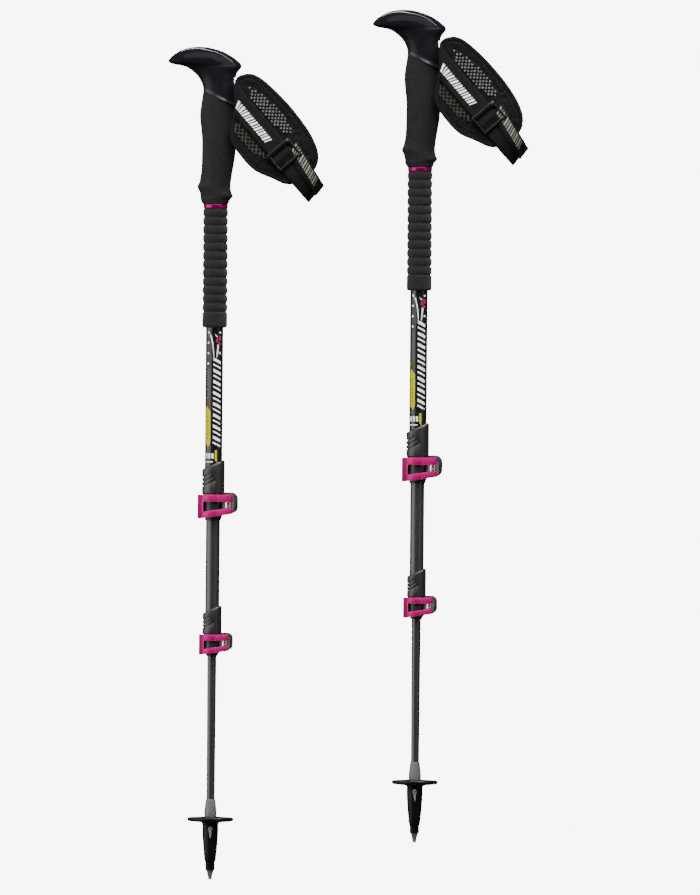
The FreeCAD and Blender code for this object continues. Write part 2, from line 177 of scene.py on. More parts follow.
def make_stage(centre):
    for name, location, rise, size, radiance in LIGHTS:
        area_light(name, location, centre + Vector((0, 0, rise)), size, radiance)
    world = bpy.data.worlds.new("world")
    world.use_nodes = True
    background = world.node_tree.nodes["Background"]
    background.inputs["Color"].default_value = (1, 1, 1, 1)
    background.inputs["Strength"].default_value = AMBIENT
    bpy.context.scene.world = world

    floor_material, _, _ = base_material("floor", Base_Color=(0.1, 0.1, 0.1), Roughness=0.9,
                                         Specular_IOR_Level=0.0, Emission_Color=(1, 1, 1),
                                         Emission_Strength=BACKGROUND)
    disc = bmesh.new()
    bmesh.ops.create_circle(disc, cap_ends=True, segments=128, radius=FLOOR_RADIUS)
    stage_piece("floor", disc, floor_material, (centre.x, centre.y, cad_box[0].z - FLOOR_DROP))

    backdrop_material, tree, shader = base_material("backdrop")
    tree.nodes.remove(shader)
    glow = add(tree, "Emission", Strength=BACKGROUND)
    tree.links.new(glow.outputs["Emission"], tree.nodes["Material Output"].inputs["Surface"])
    ball = bmesh.new()
    bmesh.ops.create_uvsphere(ball, u_segments=48, v_segments=24, radius=BACKDROP_RADIUS)
    stage_piece("backdrop", ball, backdrop_material, centre)


# Materials


FLAT_DOT = 0.985            # rounded normal times true normal where a face is flat
EDGE_DOT = 0.86             # and along a convex edge
MIX_FACTOR, MIX_FIRST, MIX_SECOND = 0, 6, 7     # a colour Mix node's inputs
MIX_RESULT = 2


def feed(tree, socket, value):
    """Set an input, or link it to another node's output."""
    if isinstance(value, bpy.types.NodeSocket):
        tree.links.new(value, socket)
    else:
        socket.default_value = value


def add(tree, kind, settings=None, **inputs):
    """New shader node. An input is a value or another node's output; its name has _ for a space."""
    node = tree.nodes.new("ShaderNode" + kind)
    for key, value in (settings or {}).items():
        setattr(node, key, value)
    for key, value in inputs.items():
        feed(tree, node.inputs[key.replace("_", " ")], value)
    return node


def maths(tree, operation, a, b=0.0):
    node = add(tree, "Math", {"operation": operation})
    for socket, value in zip(node.inputs, (a, b)):
        feed(tree, socket, value)
    return node.outputs[0]


def product(tree, a, b):
    return maths(tree, "MULTIPLY", a, b)


def sine_wave(tree, value, scale):
    return maths(tree, "SINE", product(tree, value, scale))


def object_place(tree):
    return add(tree, "TexCoord").outputs["Object"]


def noise(tree, scale, detail=3.0, stretch=(1, 1, 1)):
    """Noise in object space, with scale in cells a metre."""
    spot = object_place(tree)
    if stretch != (1, 1, 1):
        spot = add(tree, "Mapping", Vector=spot, Scale=stretch).outputs[0]
    return add(tree, "TexNoise", Vector=spot, Scale=scale, Detail=detail).outputs[0]


def ranged(tree, value, low, high, to_low, to_high):
    return add(tree, "MapRange", Value=value, From_Min=low, From_Max=high, To_Min=to_low,
               To_Max=to_high).outputs[0]


def mixed(tree, factor, first, second):
    node = add(tree, "Mix", {"data_type": "RGBA"})
    for index, value in ((MIX_FACTOR, factor), (MIX_FIRST, first), (MIX_SECOND, second)):
        feed(tree, node.inputs[index], (*value, 1) if isinstance(value, tuple) else value)
    return node.outputs[MIX_RESULT]


def edges(tree, radius):
    """1 along convex edges and 0 on smooth faces."""
    node = add(tree, "VectorMath", {"operation": "DOT_PRODUCT"})
    feed(tree, node.inputs[0], add(tree, "Bevel", {"samples": 6}, Radius=radius).outputs[0])
    feed(tree, node.inputs[1], add(tree, "NewGeometry").outputs["Normal"])
    return ranged(tree, node.outputs["Value"], FLAT_DOT, EDGE_DOT, 0.0, 1.0)


def base_material(name, **sockets):
    material = bpy.data.materials.new(name)
    material.use_nodes = True
    shader = material.node_tree.nodes["Principled BSDF"]
    for key, value in sockets.items():
        if isinstance(value, tuple):
            value = (*value, 1)
        shader.inputs[key.replace("_", " ")].default_value = value
    return material, material.node_tree, shader


def finish_colour(tree, shader, dark, light, factor):
    tree.links.new(mixed(tree, factor, dark, light), shader.inputs["Base Color"])


def finish_rough(tree, shader, value, low, high):
    tree.links.new(ranged(tree, value, 0.3, 0.7, low, high), shader.inputs["Roughness"])


def finish_bump(tree, shader, height, distance, under=None):
    bump = add(tree, "Bump", Height=height, Distance=distance)
    if under:
        tree.links.new(under, bump.inputs["Normal"])
    tree.links.new(bump.outputs[0], shader.inputs["Normal"])
    return bump.outputs[0]


def plastic(name, dark, light, rough, grain, depth, wear=0.0, **sockets):
    """Moulded plastic: a little uneven in colour and gloss, fine-grained, rubbed along its edges."""
    material, tree, shader = base_material(name, **sockets)
    cloud = noise(tree, 60.0)
    colour = mixed(tree, cloud, dark, light)
    if wear:
        rubbed = tuple(min(1.0, 2.2 * c + 0.02) for c in light)
        amount = product(tree, edges(tree, 0.0006), product(tree, cloud, wear))
        colour = mixed(tree, amount, colour, rubbed)
    tree.links.new(colour, shader.inputs["Base Color"])
    finish_rough(tree, shader, noise(tree, 140.0, 4.0), rough[0], rough[1])
    finish_bump(tree, shader, noise(tree, grain, 2.0), depth)
    return material


def rubber(name):
    """Matte rubber with a moulded pebble grain."""
    material, tree, shader = base_material(name, Specular_IOR_Level=0.16, Sheen_Weight=0.03,
                                           Sheen_Roughness=0.5)
    finish_colour(tree, shader, (0.004, 0.004, 0.0046), (0.006, 0.006, 0.0067), noise(tree, 45.0))
    finish_rough(tree, shader, noise(tree, 90.0), 0.62, 0.8)
    place = object_place(tree)
    pebbles = add(tree, "TexVoronoi", {"feature": "SMOOTH_F1"}, Vector=place, Scale=950.0)
    soft = finish_bump(tree, shader, noise(tree, 260.0), 0.00012)
    finish_bump(tree, shader, product(tree, pebbles.outputs["Distance"], -1.0), 0.00022, soft)
    return material


def eva_foam(name):
    """Closed-cell foam: fine speckle, open pores and a soft sheen."""
    material, tree, shader = base_material(name, Roughness=0.95, Specular_IOR_Level=0.15,
                                           Sheen_Weight=0.06, Sheen_Roughness=0.6)
    speck = ranged(tree, noise(tree, 2600.0, 1.0), 0.42, 0.68, 0.0, 1.0)
    finish_colour(tree, shader, (0.006, 0.006, 0.0063), (0.012, 0.012, 0.0123), speck)
    place = object_place(tree)
    pores = add(tree, "TexVoronoi", Vector=place, Scale=1300.0).outputs["Distance"]
    cells = finish_bump(tree, shader, ranged(tree, pores, 0.0, 0.35, 0.0, 1.0), 0.00014)
    finish_bump(tree, shader, noise(tree, 420.0), 0.0002, cells)
    return material


def anodised(name, colour, dark, rough, metallic):
    """Dyed aluminium with faint turning lines, a paler pink along its edges: partly rubbed dye, partly a
    painted edge highlight.
    """
    material, tree, shader = base_material(name, Metallic=metallic, Specular_IOR_Level=0.12)
    cloud = noise(tree, 120.0)
    body = mixed(tree, cloud, dark, colour)
    # pale pink mixed in along every convex edge: partly rubbed dye, partly painted edge highlight
    rubbed = mixed(tree, product(tree, edges(tree, 0.0009), 0.7), body, (0.9, 0.1, 0.36))
    tree.links.new(rubbed, shader.inputs["Base Color"])
    lines = noise(tree, 900.0, 2.0, (0.15, 0.15, 3.0))
    finish_rough(tree, shader, lines, rough, rough + 0.1)
    finish_bump(tree, shader, lines, 0.00002)
    return material


def metal(name, dark, light, rough, scale=700.0):
    material, tree, shader = base_material(name, Metallic=1.0)
    finish_colour(tree, shader, dark, light, noise(tree, scale / 4))
    finish_rough(tree, shader, noise(tree, scale, 3.0, (1, 1, 4)), rough, rough + 0.14)
    finish_bump(tree, shader, noise(tree, scale * 2), 0.00003)
    return material


def round_the_tube(tree, radius):
    """Distance round a tube about Z and height along it, both in metres."""
    coordinates = add(tree, "TexCoord")
    normal = add(tree, "SeparateXYZ", Vector=coordinates.outputs["Normal"])
    angle = maths(tree, "ARCTAN2", normal.outputs["Y"], normal.outputs["X"])
    height = add(tree, "SeparateXYZ", Vector=coordinates.outputs["Object"]).outputs["Z"]
    return product(tree, angle, radius * MM), height


def carbon(name, tow, gloss, dark, light, coat):
    """Twill-woven carbon: each tow is a low ridge, along the tube or round it by turns."""
    material, tree, shader = base_material(name, Coat_Weight=coat, Coat_Roughness=0.12,
                                           Specular_IOR_Level=0.35)
    across, along = round_the_tube(tree, UPPER_R)
    u = maths(tree, "DIVIDE", across, tow)
    v = maths(tree, "DIVIDE", along, tow)
    step = maths(tree, "ADD", maths(tree, "FLOOR", u), maths(tree, "FLOOR", v))
    lengthways = maths(tree, "LESS_THAN", maths(tree, "FLOORED_MODULO", step, 4.0), 2.0)
    ridge_u = maths(tree, "ABSOLUTE", sine_wave(tree, u, math.pi))
    ridge_v = maths(tree, "ABSOLUTE", sine_wave(tree, v, math.pi))
    ridge = mixed(tree, lengthways, ridge_v, ridge_u)
    fibres = noise(tree, 500.0, 2.0, (6, 6, 0.4))
    finish_colour(tree, shader, dark, light, product(tree, lengthways, fibres))
    finish_rough(tree, shader, fibres, gloss, gloss + 0.1)
    finish_bump(tree, shader, ridge, 0.00002)
    return material


def satin_tube(name):
    """Ground carbon tube: a dark satin surface with fine rings round it."""
    material, tree, shader = base_material(name, Specular_IOR_Level=0.75)
    rings = noise(tree, 1400.0, 3.0, (0.05, 0.05, 1.0))
    cloud = noise(tree, 25.0, 2.0, (1, 1, 0.3))
    finish_colour(tree, shader, (0.006, 0.006, 0.0065), (0.013, 0.013, 0.0135),
                  product(tree, cloud, maths(tree, "ADD", rings, 0.4)))
    finish_rough(tree, shader, rings, 0.3, 0.42)
    finish_bump(tree, shader, rings, 0.000015)
    return material


def cloth_axes(tree):
    """Metres along (U) and across (V) a cloth, from its own UV map."""
    parts = add(tree, "SeparateXYZ", Vector=add(tree, "UVMap", {"uv_map": "cloth"}).outputs[0])
    return parts.outputs["X"], parts.outputs["Y"]


def woven(name, dark, light, pitch, depth, rough, sheen):
    """Plain-woven cloth, its colour darker in the hollows of the weave: painted shade."""
    material, tree, shader = base_material(name, Sheen_Weight=sheen, Sheen_Roughness=0.45,
                                           Specular_IOR_Level=0.14)
    along, across = cloth_axes(tree)
    over = product(tree, sine_wave(tree, along, math.pi / pitch), sine_wave(tree, across, math.pi / pitch))
    yarn = maths(tree, "ABSOLUTE", over)
    fuzz = noise(tree, 3000.0, 1.0)
    # colour follows the weave's height: darker in its hollows, painted shade
    finish_colour(tree, shader, dark, light, product(tree, yarn, fuzz))
    finish_rough(tree, shader, fuzz, rough - 0.05, rough + 0.05)
    finish_bump(tree, shader, yarn, depth, finish_bump(tree, shader, noise(tree, 150.0), 0.0002))
    return material


def ribbed_webbing(name):
    """Herringbone webbing: fine cords along it that lean one way and then the other, its colour darker in
    the hollows between them: painted shade.
    """
    row_width, cord_pitch, thread_pitch = 0.003, 0.0014, 0.001
    material, tree, shader = base_material(name, Sheen_Weight=0.02, Sheen_Roughness=0.4,
                                           Specular_IOR_Level=0.15)
    along, across = cloth_axes(tree)
    lean = maths(tree, "ADD", along, maths(tree, "PINGPONG", across, row_width))
    cords = sine_wave(tree, lean, 2 * math.pi / cord_pitch)
    threads = sine_wave(tree, across, 2 * math.pi / thread_pitch)
    height = maths(tree, "ADD", cords, product(tree, threads, 0.4))
    fuzz = noise(tree, 2500.0, 2.0)
    # colour follows the cords' height: darker in the hollows between them, painted shade
    finish_colour(tree, shader, (0.0012, 0.0012, 0.0011), (0.006, 0.006, 0.0052),
                  product(tree, ranged(tree, height, -1.4, 1.4, 0.0, 1.0), fuzz))
    finish_rough(tree, shader, fuzz, 0.7, 0.85)
    finish_bump(tree, shader, height, 0.00009)
    return material


def ink(name, colour, rough):
    """Printed layer, very slightly mottled, under the tube's varnish."""
    material, tree, shader = base_material(name, Specular_IOR_Level=0.1)
    faded = tuple(0.86 * c for c in colour)
    finish_colour(tree, shader, faded, colour, noise(tree, 1500.0, 2.0))
    finish_rough(tree, shader, noise(tree, 400.0), rough, rough + 0.1)
    finish_bump(tree, shader, noise(tree, 3000.0), 0.00001)
    return material


CAP = plastic("palm_rest_cap", (0.0036, 0.0037, 0.0052), (0.0056, 0.0059, 0.0082), (0.06, 0.09), 1500.0,
              0.000003, Specular_IOR_Level=0.025)
RIM = plastic("palm_rest_rim", (0.005, 0.005, 0.006), (0.008, 0.008, 0.009), (0.3, 0.36), 1800.0,
              0.00001, Specular_IOR_Level=0.3)
NECK = plastic("palm_rest_neck", (0.004, 0.004, 0.0057), (0.006, 0.006, 0.0078), (0.3, 0.42), 1800.0,
               0.00003, Specular_IOR_Level=0.12)
RUBBER = rubber("grip_rubber_skin")
FOAM = eva_foam("foam_skin")
MAGENTA = anodised("magenta_finish", (0.4, 0.0, 0.13), (0.3, 0.0, 0.09), 0.32, 0.35)
RING = anodised("magenta_ring", (0.3, 0.0, 0.11), (0.2, 0.0, 0.07), 0.16, 0.7)
CARBON = carbon("carbon_gloss", 0.002, 0.2, (0.002, 0.002, 0.0025), (0.008, 0.008, 0.009), 0.3)
SATIN = satin_tube("carbon_satin")
CLAMP = plastic("clamp_plastic_grain", (0.0028, 0.0028, 0.003), (0.0048, 0.0048, 0.0052), (0.4, 0.5),
                1300.0, 0.00005, wear=0.4, Specular_IOR_Level=0.6)
GUIDE = plastic("guide_plastic_grain", (0.03, 0.03, 0.03), (0.05, 0.05, 0.05), (0.45, 0.6), 1200.0,
                0.00004, wear=0.3)
STEEL = metal("steel_zinc", (0.42, 0.42, 0.43), (0.62, 0.62, 0.63), 0.24)
BRASS = metal("barrel_nickel", (0.62, 0.52, 0.42), (0.88, 0.8, 0.7), 0.14)
FERRULE = plastic("ferrule_grey", (0.062, 0.062, 0.065), (0.082, 0.082, 0.085), (0.42, 0.55), 1500.0,
                  0.00004, wear=0.3)
BASKET = plastic("basket_black", (0.0022, 0.0022, 0.0024), (0.004, 0.004, 0.0043), (0.3, 0.45), 900.0,
                 0.00004, wear=0.5, Specular_IOR_Level=0.14)
# the ferrule's boss, in a grey about four times lighter than the ferrule: painted light against the
# basket's shadow
BOSS_PAINTED_LIGHT = plastic("ferrule_boss_grey", (0.28, 0.28, 0.285), (0.35, 0.35, 0.355), (0.42, 0.55),
                      1500.0, 0.00004, wear=0.3)
CARBIDE = metal("carbide_sintered", (0.06, 0.06, 0.065), (0.14, 0.14, 0.15), 0.38, 2500.0)
CLOTH = woven("cuff_cloth", (0.0012, 0.0012, 0.0011), (0.0055, 0.0055, 0.0047), 0.0009, 0.00012,
              0.85, 0.02)
BINDING = woven("binding_tape", (0.001, 0.001, 0.001), (0.005, 0.005, 0.0045), 0.0007, 0.0001, 0.75, 0.02)
WEBBING = ribbed_webbing("webbing_weave")
BUCKLE = plastic("buckle_gloss", (0.003, 0.003, 0.003), (0.006, 0.006, 0.006), (0.2, 0.3), 1200.0,
                 0.00002, wear=0.5, Specular_IOR_Level=0.16)
DOTS = woven("mesh_knots", (0.1, 0.1, 0.095), (0.22, 0.22, 0.21), 0.0005, 0.00005, 0.6, 0.1)
NET = woven("net_thread", (0.02, 0.02, 0.0165), (0.075, 0.075, 0.06), 0.0006, 0.00006, 0.7, 0.1)
THREAD = woven("sewing_thread", (0.003, 0.003, 0.003), (0.014, 0.014, 0.013), 0.0004, 0.00004, 0.6, 0.1)
PRINT = ink("webbing_print", (0.95, 0.95, 0.95), 0.5)
PALE_PRINT = ink("tail_print", (0.2, 0.2, 0.165), 0.5)
WHITE_INK = ink("white_ink", (0.95, 0.95, 0.95), 0.45)
SILVER_INK = ink("silver_ink", (0.75, 0.78, 0.78), 0.4)
# grey ink for the patch that paints the tube's highlight
HIGHLIGHT_INK = ink("grey_ink", (0.045, 0.045, 0.045), 0.4)
PINK_INK = ink("pink_ink", (0.24, 0.012, 0.085), 0.4)
LABEL_INK = ink("label_ink", (0.4, 0.4, 0.0), 0.7)
TAN_INK = ink("tan_ink", (0.075, 0.055, 0.02), 0.5)

NODE_MATERIALS = {
    "strap_pin": CARBIDE,
    "upper_tube": CARBON,
    "middle_tube": SATIN,
    "lower_tube": SATIN,
    "middle_tube_guide": GUIDE,
    "lower_tube_guide": GUIDE,
    "upper_clamp_plate": STEEL,
    "lower_clamp_plate": STEEL,
}


# Mesh making


SMOOTH_UNDER = 34           # degrees between faces that still shade as one on the moulded grips
SHARP_OVER = 32             # degrees between faces whose edge is rounded
FINISHED_UNDER = 38         # degrees that still shade as one on the rounded pieces


def make_mesh(name, vertices, faces, *materials):
    """Smooth-shaded mesh from points in the pole's own frame, in millimetres."""
    mesh = bpy.data.meshes.new(name)
    mesh.from_pydata([Vector(v) * MM for v in vertices], [], faces)
    for material in materials:
        mesh.materials.append(material)
    mesh.shade_smooth()
    return mesh


def place(name, mesh, body, node=None, slot=None):
    """The mesh on both poles. Returns the two pieces."""
    made = []
    for side in SIDES:
        piece = link_object(side + "_" + name, mesh)
        piece.location = ORIGIN[side]
        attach(piece, side + "_" + body)
        if node:
            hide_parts(side + "_" + node)
        made.append(piece)
    return made


def loft(rings, cap_start=False, cap_end=False):
    """Vertices and faces over closed rings of equal length."""
    count = len(rings[0])
    vertices = [tuple(point) for ring in rings for point in ring]
    faces = []
    for r in range(len(rings) - 1):
        for i in range(count):
            j = (i + 1) % count
            faces.append((r * count + i, r * count + j, (r + 1) * count + j, (r + 1) * count + i))
    if cap_start:
        faces.append(tuple(reversed(range(count))))
    if cap_end:
        faces.append(tuple(range((len(rings) - 1) * count, len(rings) * count)))
    return vertices, faces


def smooth_rows(rows, steps):
    """Rows of numbers run smoothly through the given ones, with steps to each span."""
    rows = np.array(rows, float)
    padded = np.vstack([2 * rows[0] - rows[1], rows, 2 * rows[-1] - rows[-2]])
    result = []
    for i in range(1, len(rows)):
        p0, p1, p2, p3 = padded[i - 1:i + 3]
        for t in np.arange(steps) / steps:
            result.append(0.5 * (2 * p1 + (p2 - p0) * t + (2 * p0 - 5 * p1 + 4 * p2 - p3) * t ** 2
                                 + (3 * p1 - p0 - 3 * p2 + p3) * t ** 3))
    return np.vstack(result + [rows[-1]])


def applied(mesh, kind, **settings):
    """The mesh with one modifier applied."""
    scratch = link_object("scratch", mesh)
    modifier = scratch.modifiers.new(kind.lower(), kind)
    for key, value in settings.items():
        setattr(modifier, key, value)
    graph = bpy.context.evaluated_depsgraph_get()
    result = bpy.data.meshes.new_from_object(scratch.evaluated_get(graph))
    bpy.data.objects.remove(scratch)
    return result


def facing_out(mesh):
    """The mesh with its faces turned outwards."""
    shape = bmesh.new()
    shape.from_mesh(mesh)
    bmesh.ops.recalc_face_normals(shape, faces=shape.faces)
    shape.to_mesh(mesh)
    shape.free()
    return mesh


def cut_away(mesh, rings):
    """The mesh with the solid through these rings cut out of it."""
    cutter = link_object("cutter", facing_out(make_mesh("cutter", *loft(rings, True, True), NECK)))
    cut = applied(mesh, "BOOLEAN", operation="DIFFERENCE", object=cutter, solver="EXACT")
    bpy.data.objects.remove(cutter)
    return cut


def circle(count, radius=1.0):
    """(x, y) of points spaced evenly round a circle."""
    turns = [2 * math.pi * k / count for k in range(count)]
    return [(radius * math.cos(turn), radius * math.sin(turn)) for turn in turns]


def powered(value, power):
    """The value's size raised to a power, with its sign kept."""
    return math.copysign(abs(value) ** power, value)


def headings(path, closed=False):
    """Unit direction of a run of points at each of them."""
    result = []
    count = len(path)
    for i in range(count):
        before = path[i - 1] if closed or i else path[i]
        after = path[(i + 1) % count] if closed or i < count - 1 else path[i]
        result.append((Vector(after) - Vector(before)).normalized())
    return result


def sweep(path, normals, profile, closed=False):
    """Profile (out, side) swept along a path. Out follows the normals, side the third direction."""
    rings = []
    for point, normal, along in zip(path, normals, headings(path, closed)):
        side = along.cross(normal).normalized()
        out = side.cross(along).normalized()
        rings.append([tuple(point + out * x + side * y) for x, y in profile])
    if closed:
        rings.append(rings[0])
    return loft(rings, not closed, not closed)


def oval_profile(out, side, count):
    return [(out * y, side * x) for x, y in circle(count)]


def merged(parts):
    """Several (vertices, faces) as one."""
    vertices, faces = [], []
    for more_vertices, more_faces in parts:
        start = len(vertices)
        vertices += list(more_vertices)
        faces += [tuple(i + start for i in face) for face in more_faces]
    return vertices, faces


class Run:
    """A run of points, looked up by the distance along it."""

    def __init__(self, points):
        self.lengths = [0.0]
        for start, end in zip(points, points[1:]):
            self.lengths.append(self.lengths[-1] + (Vector(end) - Vector(start)).length)
        self.total = self.lengths[-1]
        self.columns = np.array([tuple(p) for p in points]).T

    def at(self, distance):
        return tuple(float(np.interp(distance, self.lengths, column)) for column in self.columns)


def shade_by_angle(mesh, degrees):
    mesh.shade_smooth()
    mesh.set_sharp_from_angle(angle=math.radians(degrees))


def softened(node, width, material):
    """Copy of a CAD node's mesh with its sharp edges rounded, standing for it on both poles."""
    for side in SIDES:
        source = frame["nodes"][side + "_" + node]
        mesh = source.data.copy()
        shape = bmesh.new()
        shape.from_mesh(mesh)
        bmesh.ops.remove_doubles(shape, verts=shape.verts, dist=0.00001)
        bmesh.ops.dissolve_limit(shape, angle_limit=math.radians(1.0), verts=shape.verts,
                                 edges=shape.edges)
        sharp = [e for e in shape.edges if len(e.link_faces) == 2
                 and e.calc_face_angle(0.0) > math.radians(SHARP_OVER)]
        bmesh.ops.bevel(shape, geom=sharp, offset=width * MM, offset_type="OFFSET", segments=2,
                        profile=0.5, affect="EDGES", clamp_overlap=True)
        shape.to_mesh(mesh)
        shape.free()
        if "custom_normal" in mesh.attributes:
            mesh.attributes.remove(mesh.attributes["custom_normal"])
        mesh.materials.clear()
        mesh.materials.append(material)
        shade_by_angle(mesh, FINISHED_UNDER)
        piece = link_object(side + "_" + node + "_finished", mesh)
        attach(piece, source.parent.name.removeprefix("body:"))
        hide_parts(side + "_" + node)


# Hand grip


SEGMENTS = 96
SKIRT_Z = 828.8             # height of the palm rest's slanting lower edge, on the pole's axis
SKIRT_TILT = 25.9           # degrees down towards the back

# Height, front edge (-X), back edge (+X) and half width
HANDLE_SECTIONS = [
    (716.0, -14.0, 13.4, 13.3), (720.5, -16.0, 15.0, 13.8), (724.5, -16.3, 18.1, 14.0),
    (729.5, -17.6, 16.3, 14.0), (734.5, -19.6, 15.7, 13.9), (740.5, -17.4, 16.1, 13.8),
    (752.0, -15.7, 17.8, 13.9), (767.0, -15.2, 20.2, 14.2), (784.0, -15.2, 21.0, 14.5),
    (800.0, -16.7, 21.5, 14.7), (811.0, -17.6, 21.8, 14.8), (823.0, -16.2, 21.8, 14.8),
    (838.0, -14.0, 20.8, 14.8),
]
HEAD_SECTIONS = [
    (808.0, -17.9, 22.3, 15.2), (823.0, -16.6, 22.3, 15.2), (838.0, -14.4, 21.2, 15.2),
    (848.0, -17.8, 20.2, 15.4), (855.0, -23.5, 21.4, 15.8), (861.3, -33.0, 26.0, 16.2),
    (864.6, -48.0, 25.6, 16.5), (867.8, -51.5, 22.6, 16.4), (872.5, -48.0, 16.5, 15.4),
    (877.2, -41.6, 8.0, 12.8), (880.6, -34.5, -2.0, 8.5), (882.4, -26.0, -10.0, 4.4),
    (882.9, -19.0, -17.0, 0.6),
]
BORE_R = UPPER_R + 0.03
BORE_LOW = 690.0            # below the hand grip's lower end
CAP_LINE = 863.4            # where the glossy cap meets the neck
CAP_GROOVE = 0.35
RIM_FLARE = [(0.0, 1.4), (0.3, 1.5), (0.7, 1.35), (2.5, 0.3), (3.2, 0.06), (4.2, 0.0)]

SECTION_STEPS = 8           # rows made from each span of the sections
HEAD_LEVEL = 850.0          # the head's rings are level from here up
HEAD_POWER = 0.94           # under 1 its sections are a little squarer than an ellipse
HEAD_TILTED = 13            # spans between the skirt and that level
HANDLE_LEVEL = 792.0        # the handle's rings tilt from here up
HANDLE_TILTED = 16
RIM_STARTS, RIM_ENDS = 2, 7     # rings between which the skirt has the rim's finish

# Outline (x, z) and half width of the opening for the strap's tab at the back of the neck
SLOT_OUTLINE = [(11.0, 850.3), (36.0, 850.3), (36.0, 820.0), (22.5, 832.2), (11.0, 840.3)]
SLOT_HALF = 7.0


def section_point(section, angle, power):
    _, front, back, half = section
    x = (front + back) / 2 + (back - front) / 2 * powered(math.cos(angle), power)
    return x, half * powered(math.sin(angle), power)


def ring_at(table, height, tilt, power):
    """Closed ring on the surface through the sections, on a plane through (0, 0, height)."""
    slope = math.tan(math.radians(tilt))
    ring = []
    for i in range(SEGMENTS):
        angle = 2 * math.pi * i / SEGMENTS
        z = height
        for _ in range(12 if tilt else 1):
            section = [np.interp(z, table[:, 0], table[:, k]) for k in range(4)]
            x, y = section_point(section, angle, power)
            z = height - slope * x
        ring.append((x, y, z))
    return ring


def inset(ring, amount, drop=0.0):
    """The ring drawn in towards its middle by amount, and lowered."""
    ring = np.array(ring)
    middle = ring.mean(axis=0)
    out = ring - middle
    length = np.linalg.norm(out[:, :2], axis=1)[:, None]
    moved = middle + out * (1 - amount / length)
    moved[:, 2] -= drop
    return [tuple(p) for p in moved]


def flared(ring, amount):
    """The ring spread outwards at the two sides of the palm rest, most towards the back."""
    middle = sum((Vector(p) for p in ring), Vector()) / len(ring)
    result = []
    for p in ring:
        out = Vector((p[0] - middle.x, p[1], 0)).normalized()
        share = abs(out.y) ** 1.5 * min(max(0.55 + 0.9 * out.x, 0.15), 1.0)
        result.append(tuple(Vector(p) + out * amount * share))
    return result


def palm_rest():
    table = smooth_rows(HEAD_SECTIONS, SECTION_STEPS)
    rings = [flared(ring_at(table, SKIRT_Z + rise, SKIRT_TILT, HEAD_POWER), spread)
             for rise, spread in RIM_FLARE]
    for k in range(3, HEAD_TILTED):
        share = k / HEAD_TILTED
        height = SKIRT_Z + (HEAD_LEVEL - SKIRT_Z) * share
        rings.append(ring_at(table, height, SKIRT_TILT * (1 - share), HEAD_POWER))
    hem = [inset(rings[0], 2.5, -0.1), inset(rings[0], 0.45, -0.05), inset(rings[0], 0.12, -0.25)]
    rings = hem + rings[1:]
    cap_starts = 0
    for row in table[table[:, 0] >= HEAD_LEVEL]:
        angles = [2 * math.pi * i / SEGMENTS for i in range(SEGMENTS)]
        ring = [(*section_point(row, angle, HEAD_POWER), row[0]) for angle in angles]
        if not cap_starts and row[0] > CAP_LINE:
            cap_starts = len(rings)
            rings.append(inset(ring, CAP_GROOVE, 0.25))
        rings.append(ring)
    mesh = make_mesh("palm_rest", *loft(rings, True, True), CAP, NECK, RIM)
    for polygon in mesh.polygons:
        ring = min(polygon.vertices) // SEGMENTS
        on_rim = RIM_STARTS < ring < RIM_ENDS
        polygon.material_index = 0 if ring >= cap_starts - 1 else 2 if on_rim else 1
    slot = [[(x, y, z) for x, z in SLOT_OUTLINE] for y in (-SLOT_HALF, SLOT_HALF)]
    return bored(cut_away(facing_out(mesh), slot))


def bored(mesh):
    """The mesh with room for the upper tube cut out of it, shaded as a moulding."""
    rings = [[(x, y, z) for x, y in circle(72, BORE_R)] for z in (BORE_LOW, UPPER_TOP)]
    cut = cut_away(mesh, rings)
    shade_by_angle(cut, SMOOTH_UNDER)
    return cut


def hand_grip():
    table = smooth_rows(HANDLE_SECTIONS, SECTION_STEPS)
    rings = [ring_at(table, z, 0.0, 1.0) for z in table[table[:, 0] <= HANDLE_LEVEL][:, 0]]
    for k in range(1, HANDLE_TILTED + 1):
        share = k / HANDLE_TILTED
        height = HANDLE_LEVEL + (SKIRT_Z + 0.6 - HANDLE_LEVEL) * share
        rings.append(ring_at(table, height, SKIRT_TILT * share, 1.0))
    rings = [inset(rings[0], 3.5), inset(rings[0], 0.7), inset(rings[0], 0.15, -0.5)] + rings[1:]
    return bored(make_mesh("hand_grip", *loft(rings, True, True), RUBBER))


# Foam sleeve


FOAM_COLLAR = 602.0         # top of the plain collar below the ribs
FOAM_RIBS = 12
FOAM_RIB_STEPS = 12
FOAM_RIB_DEPTH = 1.5
FOAM_ROUND = 0.62           # under 1 the ribs are fuller than half a sine wave
FOAM_SEGMENTS = 72
FOAM_WAVE = 0.05
FOAM_BORE = UPPER_R + 0.05

# Collar's rounded ends: how far in from the foam's outer radius, and how far from that end
COLLAR_FOOT = [(2.0, 0.0), (0.9, 0.4), (0.3, 1.6)]
COLLAR_HEAD = [(0.35, 1.2), (1.0, 0.35), (1.6, 0.0)]


